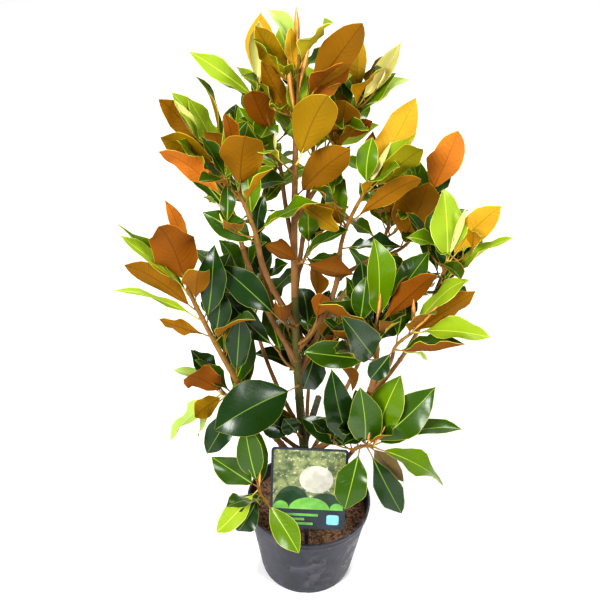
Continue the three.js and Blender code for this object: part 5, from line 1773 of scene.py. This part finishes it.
def soil_disc():
    """The soil's top as an open disc that chips are strewn over."""
    wall = pot_radius(SOIL_LEVEL) - POT["wall"] - 8
    rings, spokes = 10, 40
    points = [(0, 0, soil_height(0, 0) * MM)]
    faces = []
    for i in range(1, rings + 1):
        for k in range(spokes):
            angle = 2 * math.pi * k / spokes
            x, y = wall * i / rings * math.cos(angle), wall * i / rings * math.sin(angle)
            points.append((x * MM, y * MM, soil_height(x, y) * MM))
    for k in range(spokes):
        faces.append((0, 1 + k, 1 + (k + 1) % spokes))
        for i in range(1, rings):
            a, b = 1 + (i - 1) * spokes, 1 + i * spokes
            n = (k + 1) % spokes
            faces.append((a + k, b + k, b + n, a + n))
    return points, faces


# ---------------------------------------------------------------- picture card

def lean_with_card(points):
    """Puts points drawn upright in the card's own plane (x, y forward is negative, z up) in their place."""
    lean = math.radians(-CARD["lean_back"])
    placed = []
    for x, y, z in points:
        placed.append((
            (x + CARD["middle_x"]) * MM,
            (y * math.cos(lean) - z * math.sin(lean) + CARD["foot_y"]) * MM,
            (y * math.sin(lean) + z * math.cos(lean) + CARD["foot_height"]) * MM,
        ))
    return placed


def rounded_box(left, right, low, high, corner, steps=6):
    """The outline of a panel with round corners, anticlockwise, as (x, z)."""
    outline = []
    for middle, start in (
        ((right - corner, low + corner), -90), ((right - corner, high - corner), 0),
        ((left + corner, high - corner), 90), ((left + corner, low + corner), 180),
    ):
        outline += arc(middle, corner, start, start + 90, steps)
    return outline


def slab(outlines, front, back):
    """Closed thin plates from outlines in the card's plane, between two depths in millimetres."""
    points, faces = [], []
    for outline in outlines:
        start, count = len(points), len(outline)
        points += [(x, front, z) for x, z in outline] + [(x, back, z) for x, z in outline]
        faces.append(tuple(range(start, start + count)))
        faces.append(tuple(reversed(range(start + count, start + 2 * count))))
        for k in range(count):
            n = (k + 1) % count
            faces.append((start + k, start + count + k, start + count + n, start + n))
    return points, faces


def plates(name, outlines, front, back, material):
    """A layer of the card, between two depths."""
    points, faces = slab(outlines, front, back)
    piece = outward(mesh_object(name, lean_with_card(points), faces), 30)
    piece.data.materials.append(material)
    stands_for(piece, ["label_card"])


CARD_FINISH = {"roughness": (0.26, 0.34), "depth": 0.00006, "Coat Weight": 0.3}


def card_material(name, colour, second):
    return mottled_material(name, (colour, second, second), (50, 900), amount=0.15, **CARD_FINISH)


def hill(x, foot, half, height):
    """The upper half of an oval on a level foot."""
    return arc((x, foot), half, 0, 180, 16, height)


def make_card():
    """A thin glossy card with a dark edge, a pale disc over round hills, and plain bands below."""
    half, height = CARD["width"] / 2, CARD["height"]
    face = -CARD["thickness"]
    plates(
        "card_sheet", [rounded_box(-half, half, 0, height, CARD["corner"])], face, 0,
        card_material("card, slate", 0x1C242E, 0x26303A),
    )
    inset, low = 4, 40
    left, right, high = inset - half, half - inset, height - inset
    sky = mottled_material(
        "card, dappled green", (0x8C9460, 0x3E5230, 0xD2CFA4), (70, 190), amount=0.75, **CARD_FINISH,
    )
    plates("card_panel", [rounded_box(left, right, low, high, 4)], face - 0.08, face - 0.01, sky)
    hills = [hill(-26, low, 30, 46), hill(28, low, 28, 34)]
    plates("card_hills_far", hills, face - 0.17, face - 0.13, card_material("card, deep green", 0x27452A, 0x1A3420))
    moon = [arc((12, 100), 27, 0, 360, 40)[:-1]]
    plates("card_moon", moon, face - 0.12, face - 0.09, card_material("card, cream", 0xC6C4B6, 0xACAB9C))
    near = [hill(2, low, 33, 24), hill(-44, low, 13, 16), hill(46, low, 11, 14)]
    plates("card_hills_near", near, face - 0.22, face - 0.18, card_material("card, fresh green", 0x7AB850, 0x5E9C3E))
    bars = [rounded_box(left + 4, left + 4 + wide, z, z + 5, 1, 3) for z, wide in ((8, 62), (17, 48), (26, 70))]
    plates("card_bands", bars, face - 0.1, face - 0.01, card_material("card, leaf green", 0x6CB446, 0x549A36))
    knobs = [rounded_box(right - 26, right - 6, 10, 30, 4)]
    plates("card_square", knobs, face - 0.1, face - 0.01, card_material("card, pale teal", 0x86C8D4, 0x6CB2C0))


def make_holder():
    """A dark moulded stake behind the card, with a rib down its back and a turned clip at its head."""
    low, high = -HOLDER["below"], HOLDER["above"]
    wide, deep = HOLDER["width"] / 2, HOLDER["depth"]
    material = mottled_material(
        "holder plastic", (0x22252A, 0x2C3036, 0x4A4E54), (60, 700), (0.4, 0.6), 0.0001, 0.3,
    )
    points, faces = [], []
    rows = [(low, 0.25), (low + 6, 0.8), (low + 14, 1), (0, 1), (20, 1), (high - 8, 1), (high - 2, 0.9), (high, 0.6)]
    section = (
        (-1, 0.12), (-0.86, 0), (0.86, 0), (1, 0.12), (1, 0.55),
        (0.35, 0.62), (0.22, 1), (-0.22, 1), (-0.35, 0.62), (-1, 0.55),
    )
    for z, share in rows:
        points += [(x * wide * share, GAP + 0.05 + y * (deep - 0.1), z) for x, y in section]
    count = len(section)
    for i in range(len(rows) - 1):
        for k in range(count):
            n = (k + 1) % count
            a = i * count
            faces.append((a + k, a + n, a + count + n, a + count + k))
    faces += [tuple(range(count)), tuple(range((len(rows) - 1) * count, len(rows) * count))]
    holder = outward(mesh_object("card_holder", lean_with_card(points), faces), 30)
    holder.data.materials.append(material)
    stands_for(holder, ["label_holder"])


# ---------------------------------------------------------------- floor, light and camera


def make_stage():
    floor = mesh_object("floor", [(-12, -12, 0), (12, -12, 0), (12, 12, 0), (-12, 12, 0)], [(0, 1, 2, 3)])
    floor.data.materials.append(new_material("pale floor", {"Base Color": (0.9, 0.9, 0.9, 1), "Roughness": 0.9})[0])


LIGHTS = {  # place, what it looks at, size and power
    "window left": ((-1.5, -2.2, 2.6), (0, 0, 0.55), 1.2, 112),
    "window right": ((1.9, -1.4, 2.2), (0, 0, 0.6), 1.1, 52),
    "back light": ((0.4, 2.2, 2.4), (0, 0, 0.7), 1.2, 46),
}


def area_light(name, place, aim, size, power):
    data = bpy.data.lights.new(name, "AREA")
    data.shape = "DISK"
    data.size = size
    data.energy = power
    lamp = bpy.data.objects.new(name, data)
    lamp.location = place
    lamp.rotation_euler = (Vector(aim) - Vector(place)).to_track_quat("-Z", "Y").to_euler()
    bpy.context.collection.objects.link(lamp)


def make_light():
    world = bpy.data.worlds.new("studio white")
    world.use_nodes = True
    background = world.node_tree.nodes["Background"]
    background.inputs["Color"].default_value = (1, 1, 1, 1)
    background.inputs["Strength"].default_value = 0.4
    bpy.context.scene.world = world
    for name, light in LIGHTS.items():
        area_light(name, *light)


CAMERA = {"place": (0, -1.3, 1.596), "aim": (-0.025, 0, 0.586), "roll": 1.7, "lens": 67.1}


def make_camera():
    data = bpy.data.cameras.new("camera")
    data.lens = CAMERA["lens"]
    data.sensor_width = 36
    data.clip_start = 0.05
    camera = bpy.data.objects.new("camera", data)
    bpy.context.collection.objects.link(camera)
    ahead = (Vector(CAMERA["aim"]) - Vector(CAMERA["place"])).normalized()
    right = ahead.cross(Vector((0, 0, 1))).normalized()
    above = right.cross(ahead)
    roll = math.radians(CAMERA["roll"])
    turned_right = right * math.cos(roll) + above * math.sin(roll)
    turned_above = above * math.cos(roll) - right * math.sin(roll)
    frame_axes = Matrix((turned_right, turned_above, -ahead)).transposed()
    camera.matrix_world = Matrix.Translation(CAMERA["place"]) @ frame_axes.to_4x4()
    bpy.context.scene.camera = camera
    bpy.context.scene.view_settings.view_transform = "Standard"
    bpy.context.scene.view_settings.look = "Medium High Contrast"


# ---------------------------------------------------------------- the whole plant

PATHS, PLANT = grow_plant()
make_wood(PATHS, PLANT)
make_stalks(PLANT)
make_leaves(PLANT)
make_pot()
make_soil()
make_card()
make_holder()
make_stage()
make_light()
make_camera()
